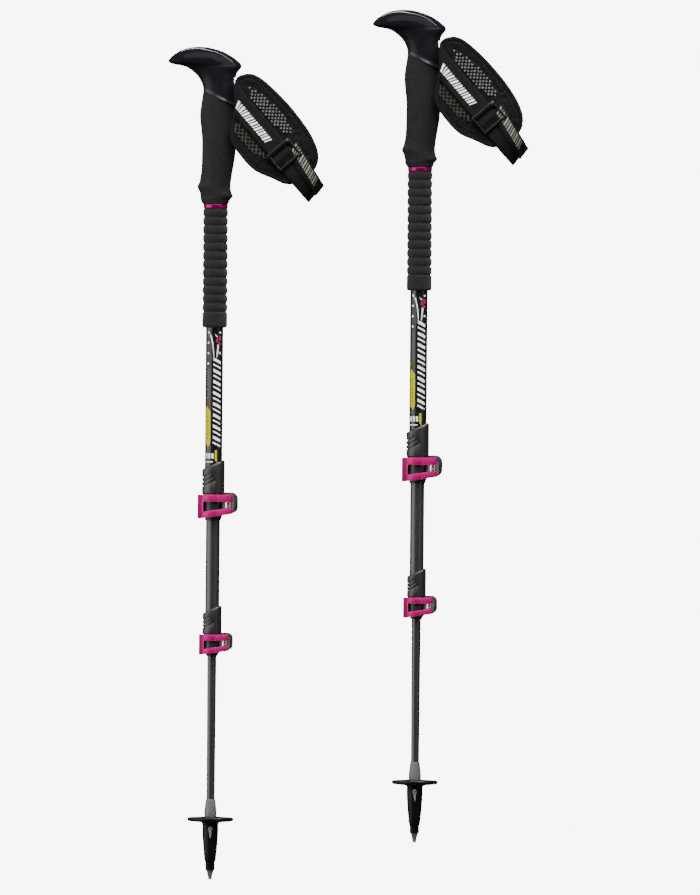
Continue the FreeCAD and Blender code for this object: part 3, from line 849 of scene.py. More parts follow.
def foam_grip():
    """Turned foam: each rib a little different, with a rounded plain collar below."""
    dice = random.Random(7)
    outer = FOAM_HIGH.x
    bottom, top = FOAM_LOW.z, FOAM_HIGH.z
    pitch = (top - FOAM_COLLAR) / FOAM_RIBS
    profile = [(FOAM_BORE, bottom)] + [(outer - x, bottom + z) for x, z in COLLAR_FOOT]
    profile += [(outer - 0.15, z) for z in np.linspace(bottom + 3, FOAM_COLLAR - 2.6, 6)]
    profile += [(outer - x, FOAM_COLLAR - z) for x, z in COLLAR_HEAD]
    for rib in range(FOAM_RIBS):
        swell = dice.uniform(-0.12, 0.0)
        for k in range(1, FOAM_RIB_STEPS + 1):
            share = k / FOAM_RIB_STEPS
            height = math.sin(math.pi * share) ** FOAM_ROUND
            profile.append((outer - FOAM_RIB_DEPTH + (FOAM_RIB_DEPTH + swell) * height,
                            FOAM_COLLAR + (rib + share) * pitch))
    profile.append((FOAM_BORE, top))
    phases = [dice.uniform(0, 2 * math.pi) for _ in range(4)]
    rings = []
    for radius, z in profile:
        ring = []
        for i in range(FOAM_SEGMENTS):
            angle = 2 * math.pi * i / FOAM_SEGMENTS
            wave = math.sin(3 * angle + phases[0] + z / 17) + math.sin(5 * angle + phases[1] - z / 11)
            r = radius + (FOAM_WAVE * wave if radius > UPPER_R + 1 else 0.0)
            ring.append((r * math.cos(angle), r * math.sin(angle), z))
        rings.append(ring)
    return make_mesh("foam_grip", *loft(rings), FOAM)


# Boss on the ferrule, in the window of the basket's sleeve


BOSS_TOP = 54.4             # height of the middle of its round end
BOSS_POINT = 43.4           # height of its pointed end
BOSS_RADIUS = 2.5
BOSS_WAIST = 1.35           # half its width halfway down
BOSS_TIP = 0.25
BOSS_STEPS = [(5.0, 1.0), (7.5, 1.0), (7.85, 0.93), (7.95, 0.8), (8.0, 0.45)]   # radius and size
DIMPLE_Z = 54.6


def boss_outline(size):
    """Drop outline (x, z), round above and pointed below."""
    radius = BOSS_RADIUS * size
    turns = [math.radians(angle) for angle in range(0, 181, 12)]
    top = [(radius * math.cos(turn), BOSS_TOP + radius * math.sin(turn)) for turn in turns]
    middle = (BOSS_TOP + BOSS_POINT) / 2
    low = middle + (BOSS_POINT - middle) * size
    return top + [(-BOSS_WAIST * size, middle), (-BOSS_TIP * size, low), (BOSS_TIP * size, low),
                  (BOSS_WAIST * size, middle)]


def ferrule_boss():
    """Raised drop that the sleeve snaps over, in a much lighter grey than the ferrule: painted light where
    the basket shades it. A dark disc paints a dimple at its round end.
    """
    rings = [[(x, -math.sqrt(max(out ** 2 - x ** 2, 1.0)), z) for x, z in boss_outline(size)]
             for out, size in BOSS_STEPS]
    return make_mesh("ferrule_boss", *loft(rings, False, True), BOSS_PAINTED_LIGHT)


# Thin dark disc in the ferrule's own grey on the boss's round end: painted shade of a dimple
def boss_dimple():
    rings = [[(x, y, DIMPLE_Z + z) for x, z in circle(12, radius)]
             for radius, y in ((1.0, -8.0), (1.0, -8.06), (0.8, -7.9))]
    return make_mesh("boss_dimple", *loft(rings, True, True), FERRULE)


# Wrist strap. In its own frame a runs from the grip along the strap, b is the pole's Y and c runs
# across the webbing.


STRAP_DIP = math.radians(49.0)
STRAP_ORIGIN = Vector((15.4, 0, 833.7))
ALONG = Vector((math.cos(STRAP_DIP), 0, -math.sin(STRAP_DIP)))
ACROSS = Vector((math.sin(STRAP_DIP), 0, math.cos(STRAP_DIP)))
PIN_A = (PIN - STRAP_ORIGIN).dot(ALONG)
PIN_C = (PIN - STRAP_ORIGIN).dot(ACROSS)
LOOP_HALF = 17.4            # half the loop's inner width
LOOP_STRAIGHT = 105.0       # where its rounded end begins
LOOP_END = 28.0
CUFF_THICK = 4.5
CUFF_OUTLINE = [(-6.5, 20.5), (0.0, 29.5), (14.0, 34.5), (40.0, 37.3), (66.0, 37.3), (90.0, 34.5),
                (108.0, 28.0), (118.0, 16.0), (118.5, -2.0), (112.0, -17.0), (96.0, -25.5),
                (78.0, -33.8), (58.0, -35.0), (40.0, -32.8), (30.0, -25.5), (22.0, -15.0),
                (12.0, -4.0), (0.0, 5.5), (-6.8, 13.5)]
MESH_PANEL = [(7.0, 18.4), (20.7, 9.5), (48.0, 10.0), (72.8, 14.3), (74.0, 25.8), (50.0, 28.0),
              (34.7, 27.0), (15.0, 23.0)]
NET_PANEL = [(25.0, -14.0), (33.0, -25.0), (62.0, -25.0), (78.0, -18.0), (77.0, -14.0)]
BAND_LOW, BAND_HIGH = -13.0, 9.5    # the webbing's edges on the cuff
BAND_MIDDLE = (BAND_LOW + BAND_HIGH) / 2

NEAR_SIDE = Vector((0, -1, 0))      # out of the strap's near side
SEAM_STEP = 1.8
FILL_STEP = 2.1             # between the cuff's other points
FILL_ROW = FILL_STEP * 0.866        # between their rows
FILL_JITTER = 0.2
SEAM_CLEAR, FILL_CLEAR = 0.9, 1.3           # least distance from the points already there
CUFF_LOW, CUFF_HIGH = (-8.0, -38.0), (122.0, 40.0)      # corners just outside its outline
SEAM_INSET = 4.2            # where the filling is held flat, in from the cuff's edge
EDGE_HEIGHT = 2.2           # heights above the cuff's inner face before it is filled
INNER_HEIGHT, INNER_SEAM_HEIGHT = 0.8, 1.3
OUTER_HEIGHT, OUTER_SEAM_HEIGHT, OUTER_BAND_HEIGHT = 3.5, 2.9, 3.9
BAND_START_A, BAND_END_A = 14.0, 112.0      # ends of the webbing's seams on the cuff
BAND_SEAM = 0.3             # how far they lie beside it
BAND_SEAM_INSET = 6.0       # and how far they stay in from the cuff's edge
CUFF_SCALE = 0.01           # the cuff is simulated ten times as large
CLOTH_STEPS = 20
CLOTH_SETTINGS = {"quality": 6, "mass": 0.3, "tension_stiffness": 12, "compression_stiffness": 12,
                  "shear_stiffness": 5, "bending_stiffness": 0.4, "use_pressure": True,
                  "uniform_pressure_force": 5.0, "vertex_group_mass": "held", "shrink_min": -0.06}
MOST_MOVED = 1.7            # no point of the filled cuff moves further


def strap_point(a, b, c):
    return STRAP_ORIGIN + ALONG * a + ACROSS * c + Vector((0, b, 0))


def inner_face(a):
    """b of the cuff's inner face, which curves in where the loop's end begins."""
    if a <= LOOP_STRAIGHT:
        return -LOOP_HALF
    return -LOOP_HALF * math.sqrt(max(0.0, 1 - ((a - LOOP_STRAIGHT) / LOOP_END) ** 2))


def inside(point, polygon):
    x, y = point
    hit = False
    for (x0, y0), (x1, y1) in zip(polygon, polygon[1:] + polygon[:1]):
        if (y0 > y) != (y1 > y) and x < (x1 - x0) * (y - y0) / (y1 - y0) + x0:
            hit = not hit
    return hit


def stepped(points, step):
    """Points along a closed run of straight lines, about step apart."""
    result = []
    for start, end in zip(points, points[1:] + points[:1]):
        start, end = Vector(start), Vector(end)
        count = max(1, round((end - start).length / step))
        result += [tuple(start.lerp(end, k / count)) for k in range(count)]
    return result


def closed_curve(points, step):
    """Points about step apart on a smooth closed curve through the given ones."""
    rows = smooth_rows(points[-2:] + points + points[:3], 12)[24:-24]
    return stepped([tuple(r) for r in rows[:-1]], step)


def even(points, step):
    """A closed run of points made evenly spaced."""
    run = Run([Vector(p) for p in points + points[:1]])
    return [run.at(s) for s in np.linspace(0, run.total, round(run.total / step), endpoint=False)]


OUTLINE = even(closed_curve(CUFF_OUTLINE, 1.0), SEAM_STEP)


def shrunk(points, amount):
    """A closed outline moved inwards by amount."""
    result = []
    count = len(points)
    middle = sum((Vector(p) for p in points), Vector((0, 0))) / count
    for i, point in enumerate(points):
        along = Vector(points[(i + 1) % count]) - Vector(points[i - 1])
        normal = Vector((along.y, -along.x)).normalized()
        if normal.dot(middle - Vector(point)) < 0:
            normal = -normal
        result.append(tuple(Vector(point) + normal * amount))
    return result


def staggered(start, end, pitch):
    """Points (a, c) in rows from corner to corner, every second row moved on by half a pitch."""
    row = 0
    c = start[1]
    while c < end[1]:
        a = start[0] + (pitch[0] / 2 if row % 2 else 0.0)
        while a < end[0]:
            yield a, c
            a += pitch[0]
        c += pitch[1]
        row += 1


def under_band(a, c):
    return BAND_LOW - 1 < c < BAND_HIGH + 1 and a < BAND_END_A


def cuff_layer():
    """Flat triangle mesh over the cuff, with its seams among its edges."""
    seams = [even(shrunk(OUTLINE, SEAM_INSET), SEAM_STEP), stepped(MESH_PANEL, SEAM_STEP),
             stepped(NET_PANEL, SEAM_STEP)]
    room = shrunk(OUTLINE, BAND_SEAM_INSET)
    for c in (BAND_LOW - BAND_SEAM, BAND_HIGH + BAND_SEAM):
        line = [(a, c) for a in np.arange(BAND_START_A, BAND_END_A, SEAM_STEP)]
        seams.append([p for p in line if inside(p, room) and not inside(p, NET_PANEL)])
    points = [Vector(p) for p in OUTLINE]
    held = len(points)
    for seam in seams:
        for p in seam:
            if all((Vector(p) - q).length > SEAM_CLEAR for q in points):
                points.append(Vector(p))
    sewn = len(points)
    dice = random.Random(3)
    for a, c in staggered(CUFF_LOW, CUFF_HIGH, (FILL_STEP, FILL_ROW)):
        p = Vector((a + dice.uniform(-FILL_JITTER, FILL_JITTER),
                    c + dice.uniform(-FILL_JITTER, FILL_JITTER)))
        near = [q for q in points if abs(p.y - q.y) < 1.5]
        if inside(p, OUTLINE) and all((p - q).length > FILL_CLEAR for q in near):
            points.append(p)
    found = delaunay_2d_cdt(points, [], [list(range(held))], 1, 1e-6)
    kind = []
    for origin in found[3]:
        index = origin[0] if origin else sewn
        kind.append("edge" if index < held else "seam" if index < sewn else "free")
    return [tuple(v) for v in found[0]], [tuple(f) for f in found[2]], kind


def layer_height(a, c, outer, kind):
    """Height above the cuff's inner face before it is filled."""
    if kind == "edge":
        return EDGE_HEIGHT
    if not outer:
        return INNER_SEAM_HEIGHT if kind == "seam" else INNER_HEIGHT
    if under_band(a, c):
        return OUTER_BAND_HEIGHT
    return OUTER_SEAM_HEIGHT if kind == "seam" else OUTER_HEIGHT


def blown_up(mesh, held):
    """The mesh's points after a short cloth simulation under pressure, with some points held."""
    work = link_object("cuff_fill", mesh)
    work.vertex_groups.new(name="held").add([i for i, fixed in enumerate(held) if fixed], 1.0, "REPLACE")
    cloth = work.modifiers.new("cloth", "CLOTH")
    for key, value in CLOTH_SETTINGS.items():
        setattr(cloth.settings, key, value)
    cloth.settings.effector_weights.gravity = 0.0
    cloth.collision_settings.use_collision = False
    cloth.point_cache.frame_start = 1
    cloth.point_cache.frame_end = CLOTH_STEPS
    scene = bpy.context.scene
    for step in range(1, CLOTH_STEPS + 1):
        scene.frame_set(step)
    graph = bpy.context.evaluated_depsgraph_get()
    points = [Vector(v.co) for v in work.evaluated_get(graph).data.vertices]
    scene.frame_set(1)
    bpy.data.objects.remove(work)
    return points


def filled_cuff():
    """The cuff sewn flat and filled under pressure, with its seams held."""
    flat, triangles, kind = cuff_layer()
    vertices, faces, held = [], [], []
    index = {}
    for outer in (True, False):
        for i, (a, c) in enumerate(flat):
            if kind[i] == "edge" and not outer:
                index[i, outer] = index[i, True]
                continue
            index[i, outer] = len(vertices)
            height = layer_height(a, c, outer, kind[i])
            vertices.append((a * CUFF_SCALE, -height * CUFF_SCALE, c * CUFF_SCALE))
            held.append(kind[i] != "free" or under_band(a, c))
        for face in triangles:
            corners = [index[i, outer] for i in face]
            faces.append(corners if outer else corners[::-1])
    mesh = bpy.data.meshes.new("cuff_fill")
    mesh.from_pydata(vertices, [], faces)
    before = [Vector(v.co) for v in mesh.vertices]
    after = blown_up(mesh, held)
    most = MOST_MOVED * CUFF_SCALE
    points = []
    for start, end, fixed in zip(before, after, held):
        move = Vector() if fixed else end - start
        if move.length > most:
            move *= most / move.length
        p = (start + move) / CUFF_SCALE
        points.append(strap_point(p.x, inner_face(p.x) + p.y, p.z))
    mesh = facing_out(make_mesh("cuff", points, faces, CLOTH))
    return applied(mesh, "SUBSURF", levels=1, render_levels=1)


def strap_uv(mesh):
    """UV map in metres along and across the strap, from the points' places."""
    layer = mesh.uv_layers.new(name="cloth")
    for corner in mesh.loops:
        p = mesh.vertices[corner.vertex_index].co / MM - STRAP_ORIGIN
        layer.data[corner.index].uv = (p.dot(ALONG) * MM, p.dot(ACROSS) * MM)


def strap_mesh(name, parts, material):
    """Several (vertices, faces) as one mesh with the strap's UV map."""
    mesh = make_mesh(name, *merged(parts), material)
    strap_uv(mesh)
    return mesh


class Surface:
    """Looks up the cuff's outer or inner face under a point (a, c)."""

    def __init__(self, mesh):
        mesh.calc_loop_triangles()
        points = [v.co / MM for v in mesh.vertices]
        self.tree = BVHTree.FromPolygons(points, [tuple(t.vertices) for t in mesh.loop_triangles])

    def at(self, a, c, outer=True):
        start = strap_point(a, -60.0 if outer else 0.0, c)
        hit, normal, _, _ = self.tree.ray_cast(start, Vector((0, 1 if outer else -1, 0)))
        if hit is None:
            return strap_point(a, -19.5, c), Vector((0, -1, 0))
        return hit, normal if normal.dot(Vector((0, -1 if outer else 1, 0))) > 0 else -normal


BINDING_INSET = 1.3         # its middle line, in from the cuff's edge
BINDING_OUT, BINDING_SIDE = 1.75, 2.2
STITCH_INSET = 4.9          # row of stitches, in from the cuff's edge
STITCH_LENGTH, STITCH_GAP = 2.3, 0.9
STITCH_RADIUS = 0.32
STITCH_POINTS = 5
KNOTS_LOW, KNOTS_HIGH = (4.0, 8.0), (76.0, 29.0)    # corners just outside the mesh panel
KNOT_PITCH = (4.7, 2.55)
KNOT_LENGTH, KNOT_WIDTH = 1.5, 1.25
KNOT_STEPS = [(-0.15, 1.0), (0.2, 0.88), (0.42, 0.5)]   # height above the cloth and size
NET_ROWS = 5
NET_LOW_A, NET_HIGH_A, NET_STEP = 20.0, 80.0, 0.7
NET_THREAD = (0.5, 0.55)    # half its thickness and half its width
NET_FIRST_C, NET_PITCH = -14.6, 2.75
NET_WAVE, NET_WAVELENGTH = 0.95, 5.6
NET_LIFT = 0.3
NET_SHORTEST = 5            # points in the shortest thread


def cuff_binding():
    """Tape folded round the cuff's edge."""
    path = [strap_point(a, inner_face(a) - BINDING_SIDE, c)
            for a, c in even(shrunk(OUTLINE, BINDING_INSET), 1.5)]
    profile = [(BINDING_OUT * powered(y, 0.7), BINDING_SIDE * powered(x, 0.8)) for x, y in circle(16)]
    tape = sweep(path, [NEAR_SIDE] * len(path), profile, closed=True)
    return strap_mesh("cuff_binding", [tape], BINDING)


def stitch(start, end, normal):
    """One stitch, sunk at both ends."""
    path = []
    for k in range(STITCH_POINTS):
        share = k / (STITCH_POINTS - 1)
        path.append(start.lerp(end, share) + normal * (0.25 * math.sin(math.pi * share) - 0.12))
    return sweep(path, [normal] * STITCH_POINTS, oval_profile(STITCH_RADIUS, STITCH_RADIUS, 6))


def stitching(surface, lines):
    """Rows of stitches through both faces of the cuff, along closed lines."""
    parts = []
    pitch = STITCH_LENGTH + STITCH_GAP
    for line in lines:
        run = Run([Vector(p) for p in line + line[:1]])
        for k in range(int(run.total / pitch)):
            ends = [run.at(s) for s in (k * pitch, k * pitch + STITCH_LENGTH)]
            for outer in (True, False):
                start, normal = surface.at(*ends[0], outer)
                end, _ = surface.at(*ends[1], outer)
                parts.append(stitch(start, end, normal))
    return strap_mesh("stitches", parts, THREAD)


def mesh_knots(surface):
    """Raised pale knots of the spacer mesh, in staggered rows."""
    parts = []
    panel = shrunk(stepped(MESH_PANEL, 1.0), 1.2)
    for a, c in staggered(KNOTS_LOW, KNOTS_HIGH, KNOT_PITCH):
        if inside((a, c), panel):
            parts += [knot(*surface.at(a, c, outer)) for outer in (True, False)]
    return strap_mesh("mesh_knots", parts, DOTS)


def knot(centre, normal):
    """Small four-sided dome, longer along the strap."""
    rings = []
    for out, size in KNOT_STEPS:
        ring = []
        for k, (x, y) in enumerate(circle(8)):
            reach = size * (1.0 if k % 2 == 0 else 0.8)
            ring.append(tuple(centre + normal * out + ALONG * (KNOT_LENGTH * reach * x)
                              + ACROSS * (KNOT_WIDTH * reach * y)))
        rings.append(ring)
    return loft(rings, False, True)


def net_threads(surface):
    """Open net: wavy threads that meet and part, and make rows of oval holes."""
    parts = []
    for row in range(NET_ROWS):
        runs = [[]]
        for a in np.arange(NET_LOW_A, NET_HIGH_A, NET_STEP):
            wave = NET_WAVE * math.sin(2 * math.pi * a / NET_WAVELENGTH + math.pi * row)
            c = NET_FIRST_C - row * NET_PITCH + wave
            if inside((a, c), NET_PANEL):
                runs[-1].append(surface.at(a, c))
            elif runs[-1]:
                runs.append([])
        for found in runs:
            if len(found) < NET_SHORTEST:
                continue
            path = [hit + normal * NET_LIFT for hit, normal in found]
            parts.append(sweep(path, [normal for _, normal in found], oval_profile(*NET_THREAD, 8)))
    return strap_mesh("net_threads", parts, NET)


# Webbing


WEBBING_THICK = 1.5
BUCKLE_A = 74.0
BUCKLE_LENGTH = 25.0
FAR_END_A = 22.6            # where the far side of the webbing is sewn to the cross band
FAR_BLEND = 44.0            # it narrows from here to its end
FAR_NARROW = 0.55
BAND_START = 9.0            # where the band starts on its middle line
BAND_BLEND = 27.0           # beyond this it is straight
GATHER = 0.35               # how much wider it is at its start
GRIP_EDGE_A = 5.8           # where the back of the handle crosses c = 0
GRIP_EDGE_LEAN = 1.15
FOLD_LEAN = 0.16
TAIL_START = 84.0
TAIL_HALF = 7.3
TAIL_SLANT = 9.5            # how far the free end slants across the webbing
TAIL_STRAIGHT = 0.75        # share of its length over which it does
PRINT_LIFT = WEBBING_THICK / 2 + 0.08
PRINT_C = -3.0              # middle of the print on the webbing
PRINT_WIDTH, TAIL_PRINT_WIDTH = 7.8, 8.0
BAR_SLANT = 0.35
BAND_GAP = 0.1              # between the cuff and the webbing
BUCKLE_RISE = 2.3           # how far the webbing rises to pass over the buckle's middle bar
RISE_LENGTH = 7.5
TURN_STEPS = 40             # steps of a half turn round the loop's end
TAIL_TURN = 27              # of which the free end goes round this many points
TAB_START_A = 25.0
TAB_RADIUS = 2.35           # of its fold round the pin
TAB_FOLD = 4.0              # how far from the pin the fold begins
TAB_LAYER = 0.9             # from its middle to the middle of each layer
TAB_STEP = 1.2
TAB_HALF, TAB_THICK = 6.4, 1.3
CROSS_A = 24.0
CROSS_HALF, CROSS_THICK = 5.8, 2.4

# Share of the half width and of the thickness there, from one selvedge to the other
SELVEDGE = [(1.0, 0.3), (0.97, 0.72), (0.9, 1.0), (0.6, 1.0), (0.3, 1.0)]
WEBBING_ACROSS = [(-share, fullness) for share, fullness in SELVEDGE] + [(0.0, 1.0)] + SELVEDGE[::-1]
TAB_ACROSS = [(1.0, 0.5), (0.8, 1.0), (0.0, 1.0), (-0.8, 1.0), (-1.0, 0.5)]


def band_point(a, b, c):
    """Point of a band. Its start spreads along the handle, its far end narrows, and its fold leans."""
    if b > LOOP_HALF + CUFF_THICK and a < FAR_BLEND:
        share = min((FAR_BLEND - a) / (FAR_BLEND - FAR_END_A), 1.0)
        share = share * share * (3 - 2 * share)
        c += ((c - BAND_MIDDLE) * FAR_NARROW + PIN_C - c) * share
    elif a < BAND_BLEND:
        share = (BAND_BLEND - a) / (BAND_BLEND - BAND_START)
        c += GATHER * max(c, 0.0) * share ** 3
        a = BAND_BLEND - (BAND_BLEND - GRIP_EDGE_A + GRIP_EDGE_LEAN * c) * share
    elif a > LOOP_STRAIGHT:
        a -= FOLD_LEAN * c * (a - LOOP_STRAIGHT) / LOOP_END
    return strap_point(a, b, c)


def webbing_path():
    """Middle line of the webbing in (a, b): along the near side, round the end and back."""
    lift = CUFF_THICK + BAND_GAP + WEBBING_THICK / 2
    reach, end = LOOP_HALF + lift, LOOP_END + lift
    path = []
    middle = BUCKLE_A + BUCKLE_LENGTH / 2
    for a in np.arange(BAND_START, LOOP_STRAIGHT, 1.0):
        distance = min(abs(a - middle) / RISE_LENGTH, 1.0)
        path.append((a, -reach - BUCKLE_RISE * math.cos(distance * math.pi / 2) ** 2))
    for k in range(TURN_STEPS + 1):
        angle = -math.pi / 2 + math.pi * k / TURN_STEPS
        path.append((LOOP_STRAIGHT + end * math.cos(angle), reach * math.sin(angle)))
    for a in np.arange(LOOP_STRAIGHT - 1.0, FAR_END_A - 0.5, -1.0):
        path.append((a, reach))
    return path


def tail_path():
    """Middle line of the strap's free end in (a, b): over the webbing and round the loop's end."""
    lift = CUFF_THICK + BAND_GAP + 1.5 * WEBBING_THICK + 0.15
    path = [(a, -LOOP_HALF - lift) for a in np.arange(TAIL_START, LOOP_STRAIGHT, 1.0)]
    for k in range(TAIL_TURN):
        angle = -math.pi / 2 + math.pi * k / TURN_STEPS
        path.append((LOOP_STRAIGHT + (LOOP_END + lift) * math.cos(angle),
                     (LOOP_HALF + lift) * math.sin(angle)))
    return path


def tail_middle(share):
    """c of the free end's middle line: it slants across the webbing."""
    return 14.0 - TAIL_SLANT * min(share / TAIL_STRAIGHT, 1.0)


def woven_band(name, path, across, half, thick, point):
    """Flat band along a path in a plane (u, v). point turns (share run, u, v, width) into a place."""
    rings = []
    for i, ((u, v), heading) in enumerate(zip(path, headings(path))):
        ring = []
        for side, shares in ((1, across), (-1, across[::-1])):
            for share, fullness in shares:
                swell = side * 0.5 * thick * fullness
                ring.append(tuple(point(i / (len(path) - 1), u + heading.y * swell,
                                        v - heading.x * swell, half * share)))
        rings.append(ring)
    mesh = make_mesh(name, *loft(rings, True, True), WEBBING)
    lengths = Run(path).lengths
    widths = [half * share for share, _ in across + across[::-1]]
    layer = mesh.uv_layers.new(name="cloth")
    for corner in mesh.loops:
        r, k = divmod(corner.vertex_index, len(widths))
        layer.data[corner.index].uv = (lengths[r] * MM, widths[k] * MM)
    return mesh


def band(name, path, centre_c, half, thick):
    """Band with rounded selvedges along (a, b). centre_c gives its middle's c from the share run."""
    def point(share, a, b, width):
        return band_point(a, b, centre_c(share) + width)

    return woven_band(name, path, WEBBING_ACROSS, half, thick, point)


def print_bars(name, path, centre_c, bars, height, lean, material):
    """Plain slanting bars printed on a band. A bar is (start, width) along the path."""
    run = Run(path)

    def on_band(s, c_offset):
        s = min(max(s, 0.05), run.total - 0.05)
        a, b = run.at(s)
        ahead = run.at(s + 0.05)
        heading = Vector((ahead[0] - a, ahead[1] - b)).normalized()
        c = centre_c(s / run.total) + c_offset
        return band_point(a + heading.y * PRINT_LIFT, b - heading.x * PRINT_LIFT, c)

    parts = []
    rows = 4
    for start, width in bars:
        columns = max(2, int(width / 1.2))
        grid = []
        for r in range(rows + 1):
            c_offset = height * (r / rows - 0.5)
            for k in range(columns + 1):
                grid.append(tuple(on_band(start + width * k / columns + lean * c_offset, c_offset)))
        corners = [r * (columns + 1) + k for r in range(rows) for k in range(columns)]
        parts.append((grid, [(i, i + 1, i + columns + 2, i + columns + 1) for i in corners]))
    return make_mesh(name, *merged(parts), material)


def bar_pattern(start, end, groups):
    """Bars that fill a length in groups: a wide block, then a stripe."""
    pitch = (end - start) / groups
    bars = []
    for group in range(groups):
        s = start + group * pitch
        bars += [(s, 0.36 * pitch), (s + 0.6 * pitch, 0.18 * pitch)]
    return bars


BUCKLE_B = -25.3
BUCKLE_LOW, BUCKLE_HIGH = BUCKLE_A + 0.6, BUCKLE_A + BUCKLE_LENGTH - 0.6
RAIL_C = 13.7
BAR_C = 14.0
BUCKLE_STEPS = 8
BUCKLE_ROUND = 0.75         # under 1 the bars' section is squarer than an ellipse

# Where each bar is along the strap, how far it is set in, and its half thickness and half width
BUCKLE_BARS = [(BUCKLE_A + 3.2, 0.0, 1.5, 2.7), (BUCKLE_A + 12.5, 1.0, 0.8, 1.7),
               (BUCKLE_HIGH - 1.8, 0.0, 1.35, 1.8)]


def buckle_bar(start, end, out, side):
    """Rounded bar between two points in the strap's frame."""
    start, end = strap_point(*start), strap_point(*end)
    path = [start.lerp(end, k / BUCKLE_STEPS) for k in range(BUCKLE_STEPS + 1)]
    profile = [(out * powered(y, BUCKLE_ROUND), side * powered(x, BUCKLE_ROUND)) for x, y in circle(14)]
    return sweep(path, [NEAR_SIDE] * len(path), profile)


def buckle():
    """Ladder buckle: two rails and three bars."""
    parts = [buckle_bar((BUCKLE_LOW, BUCKLE_B, c), (BUCKLE_HIGH, BUCKLE_B, c), 1.45, 1.25)
             for c in (-RAIL_C, RAIL_C)]
    for a, sunk, out, side in BUCKLE_BARS:
        b = BUCKLE_B + sunk
        parts.append(buckle_bar((a, b, -BAR_C), (a, b, BAR_C), out, side))
    return make_mesh("buckle", *merged(parts), BUCKLE)


def tab_loop():
    """Webbing folded round the pin, its two layers sewn together."""
    path = [(a, PIN_C + TAB_LAYER) for a in np.arange(TAB_START_A, PIN_A + TAB_FOLD, -TAB_STEP)]
    for k in range(13):
        angle = math.radians(60 + 240 * k / 12)
        path.append((PIN_A + TAB_RADIUS * math.cos(angle), PIN_C + TAB_RADIUS * math.sin(angle)))
    path += [(a, PIN_C - TAB_LAYER) for a in np.arange(PIN_A + TAB_FOLD, TAB_START_A + 0.5, TAB_STEP)]

    def point(_, a, c, width):
        return strap_point(a, width, c)

    return woven_band("strap_tab", path, TAB_ACROSS, TAB_HALF, TAB_THICK, point)


def cross_band():
    """Webbing from side to side of the loop, which the tab is sewn to."""
    far = LOOP_HALF + CUFF_THICK - 0.2
    path = [(CROSS_A, b) for b in np.linspace(-LOOP_HALF + 0.2, far, 30)]
    return band("cross_band", path, lambda share: PIN_C, CROSS_HALF, CROSS_THICK)


# Printed decoration on the upper tube. Outlines are (degrees right of the front, height).


INK_LIFT = 0.06             # how far a print stands off the tube
UNDER_LIFT, OVER_LIFT = 0.04, 0.09          # where it lies under or over another
PATCH_ANGLE, PATCH_HEIGHT = 4.0, 3.0        # spacing of the points inside a patch
BAR_LEFT, BAR_RIGHT = -5.0, 47.0
BAR_LEAN = 4.2
BAR_GROUPS = 8
BAR_FIRST_Z, BAR_PITCH = 553.5, 11.8
DOT_RADIUS = 1.15
DOTS_AT = [(-41, 580.0), (41, 580.0), (-43, 569.0), (-43, 558.0), (40, 558.2), (-43, 547.0)]

SWOOSH = [[(-33, 578.5), (-21, 577.5), (-10, 571.0), (-2, 561.0), (0, 549.0), (-6, 556.0),
           (-13, 566.0), (-22, 573.0)],
          [(3.0, 578.5), (12.0, 577.2), (22.0, 575.6), (11.0, 575.4)],
          [(20.0, 567.5), (32.0, 566.0), (25.0, 558.0), (13.0, 551.0), (16.0, 559.0)]]
# Grey patch on the tube's left, where the left lamp's highlight band falls: a painted highlight printed as
# ink
PAINTED_HIGHLIGHT_PATCH = [[(-54, 575.0), (-34, 574.0), (-20, 566.0), (-12, 552.0), (-22, 545.0), (-40, 541.0),
          (-54, 543.0)]]
PETALS = [[(8.0, 570.3), (18.0, 575.2), (28.0, 571.8), (20.0, 569.0)],
          [(26.0, 575.4), (44.0, 577.0), (52.0, 571.5), (34.0, 571.0)],
          [(22.0, 568.6), (34.0, 570.2), (50.0, 567.6), (34.0, 566.0)]]
LABEL = [[(-62, 499.5), (-55, 502.0), (-22, 496.5), (-22, 463.0), (-36, 458.6), (-62, 462.5)],
         [(8.0, 455.5), (22.0, 455.5), (22.0, 442.0), (8.0, 445.0)]]
TAN_PATCH = [(-60, 510.0), (-25, 510.0), (-25, 500.5), (-50, 503.5)]


def tube_patch(outline, lift):
    """Thin printed patch on the upper tube."""
    border = stepped(outline, 1.5)
    cloud = [Vector(p) for p in border]
    angles, heights = zip(*(Vector(p) for p in outline))
    for x in np.arange(min(angles), max(angles), PATCH_ANGLE):
        for y in np.arange(min(heights), max(heights), PATCH_HEIGHT):
            p = Vector((x, y))
            if inside(p, outline) and all((p - q).length > 1.0 for q in cloud[:len(border)]):
                cloud.append(p)
    found = delaunay_2d_cdt(cloud, [], [list(range(len(border)))], 1, 1e-6)
    radius = UPPER_R + lift
    vertices = [(radius * math.sin(math.radians(p.x)), -radius * math.cos(math.radians(p.x)), p.y)
                for p in found[0]]
    return vertices, [tuple(f) for f in found[2]]


def tube_print(name, outlines, ink_material, lift=INK_LIFT):
    """One sub-part of the tube's decoration, on both poles."""
    mesh = make_mesh("tube_" + name, *merged([tube_patch(o, lift) for o in outlines]), ink_material)
    place("tube_" + name, mesh, "upper_section", slot="carbon_tube")


def box_outline(left, right, top, height, lean=0.0):
    """Outline of a bar across the tube, which may lean down to the right."""
    return [(left, top), (right, top - lean), (right, top - lean - height), (left, top - height)]


def disc_outline(angle, z):
    degrees = math.degrees(1 / UPPER_R)
    return [(angle + degrees * x, z + y) for x, y in circle(12, DOT_RADIUS)]


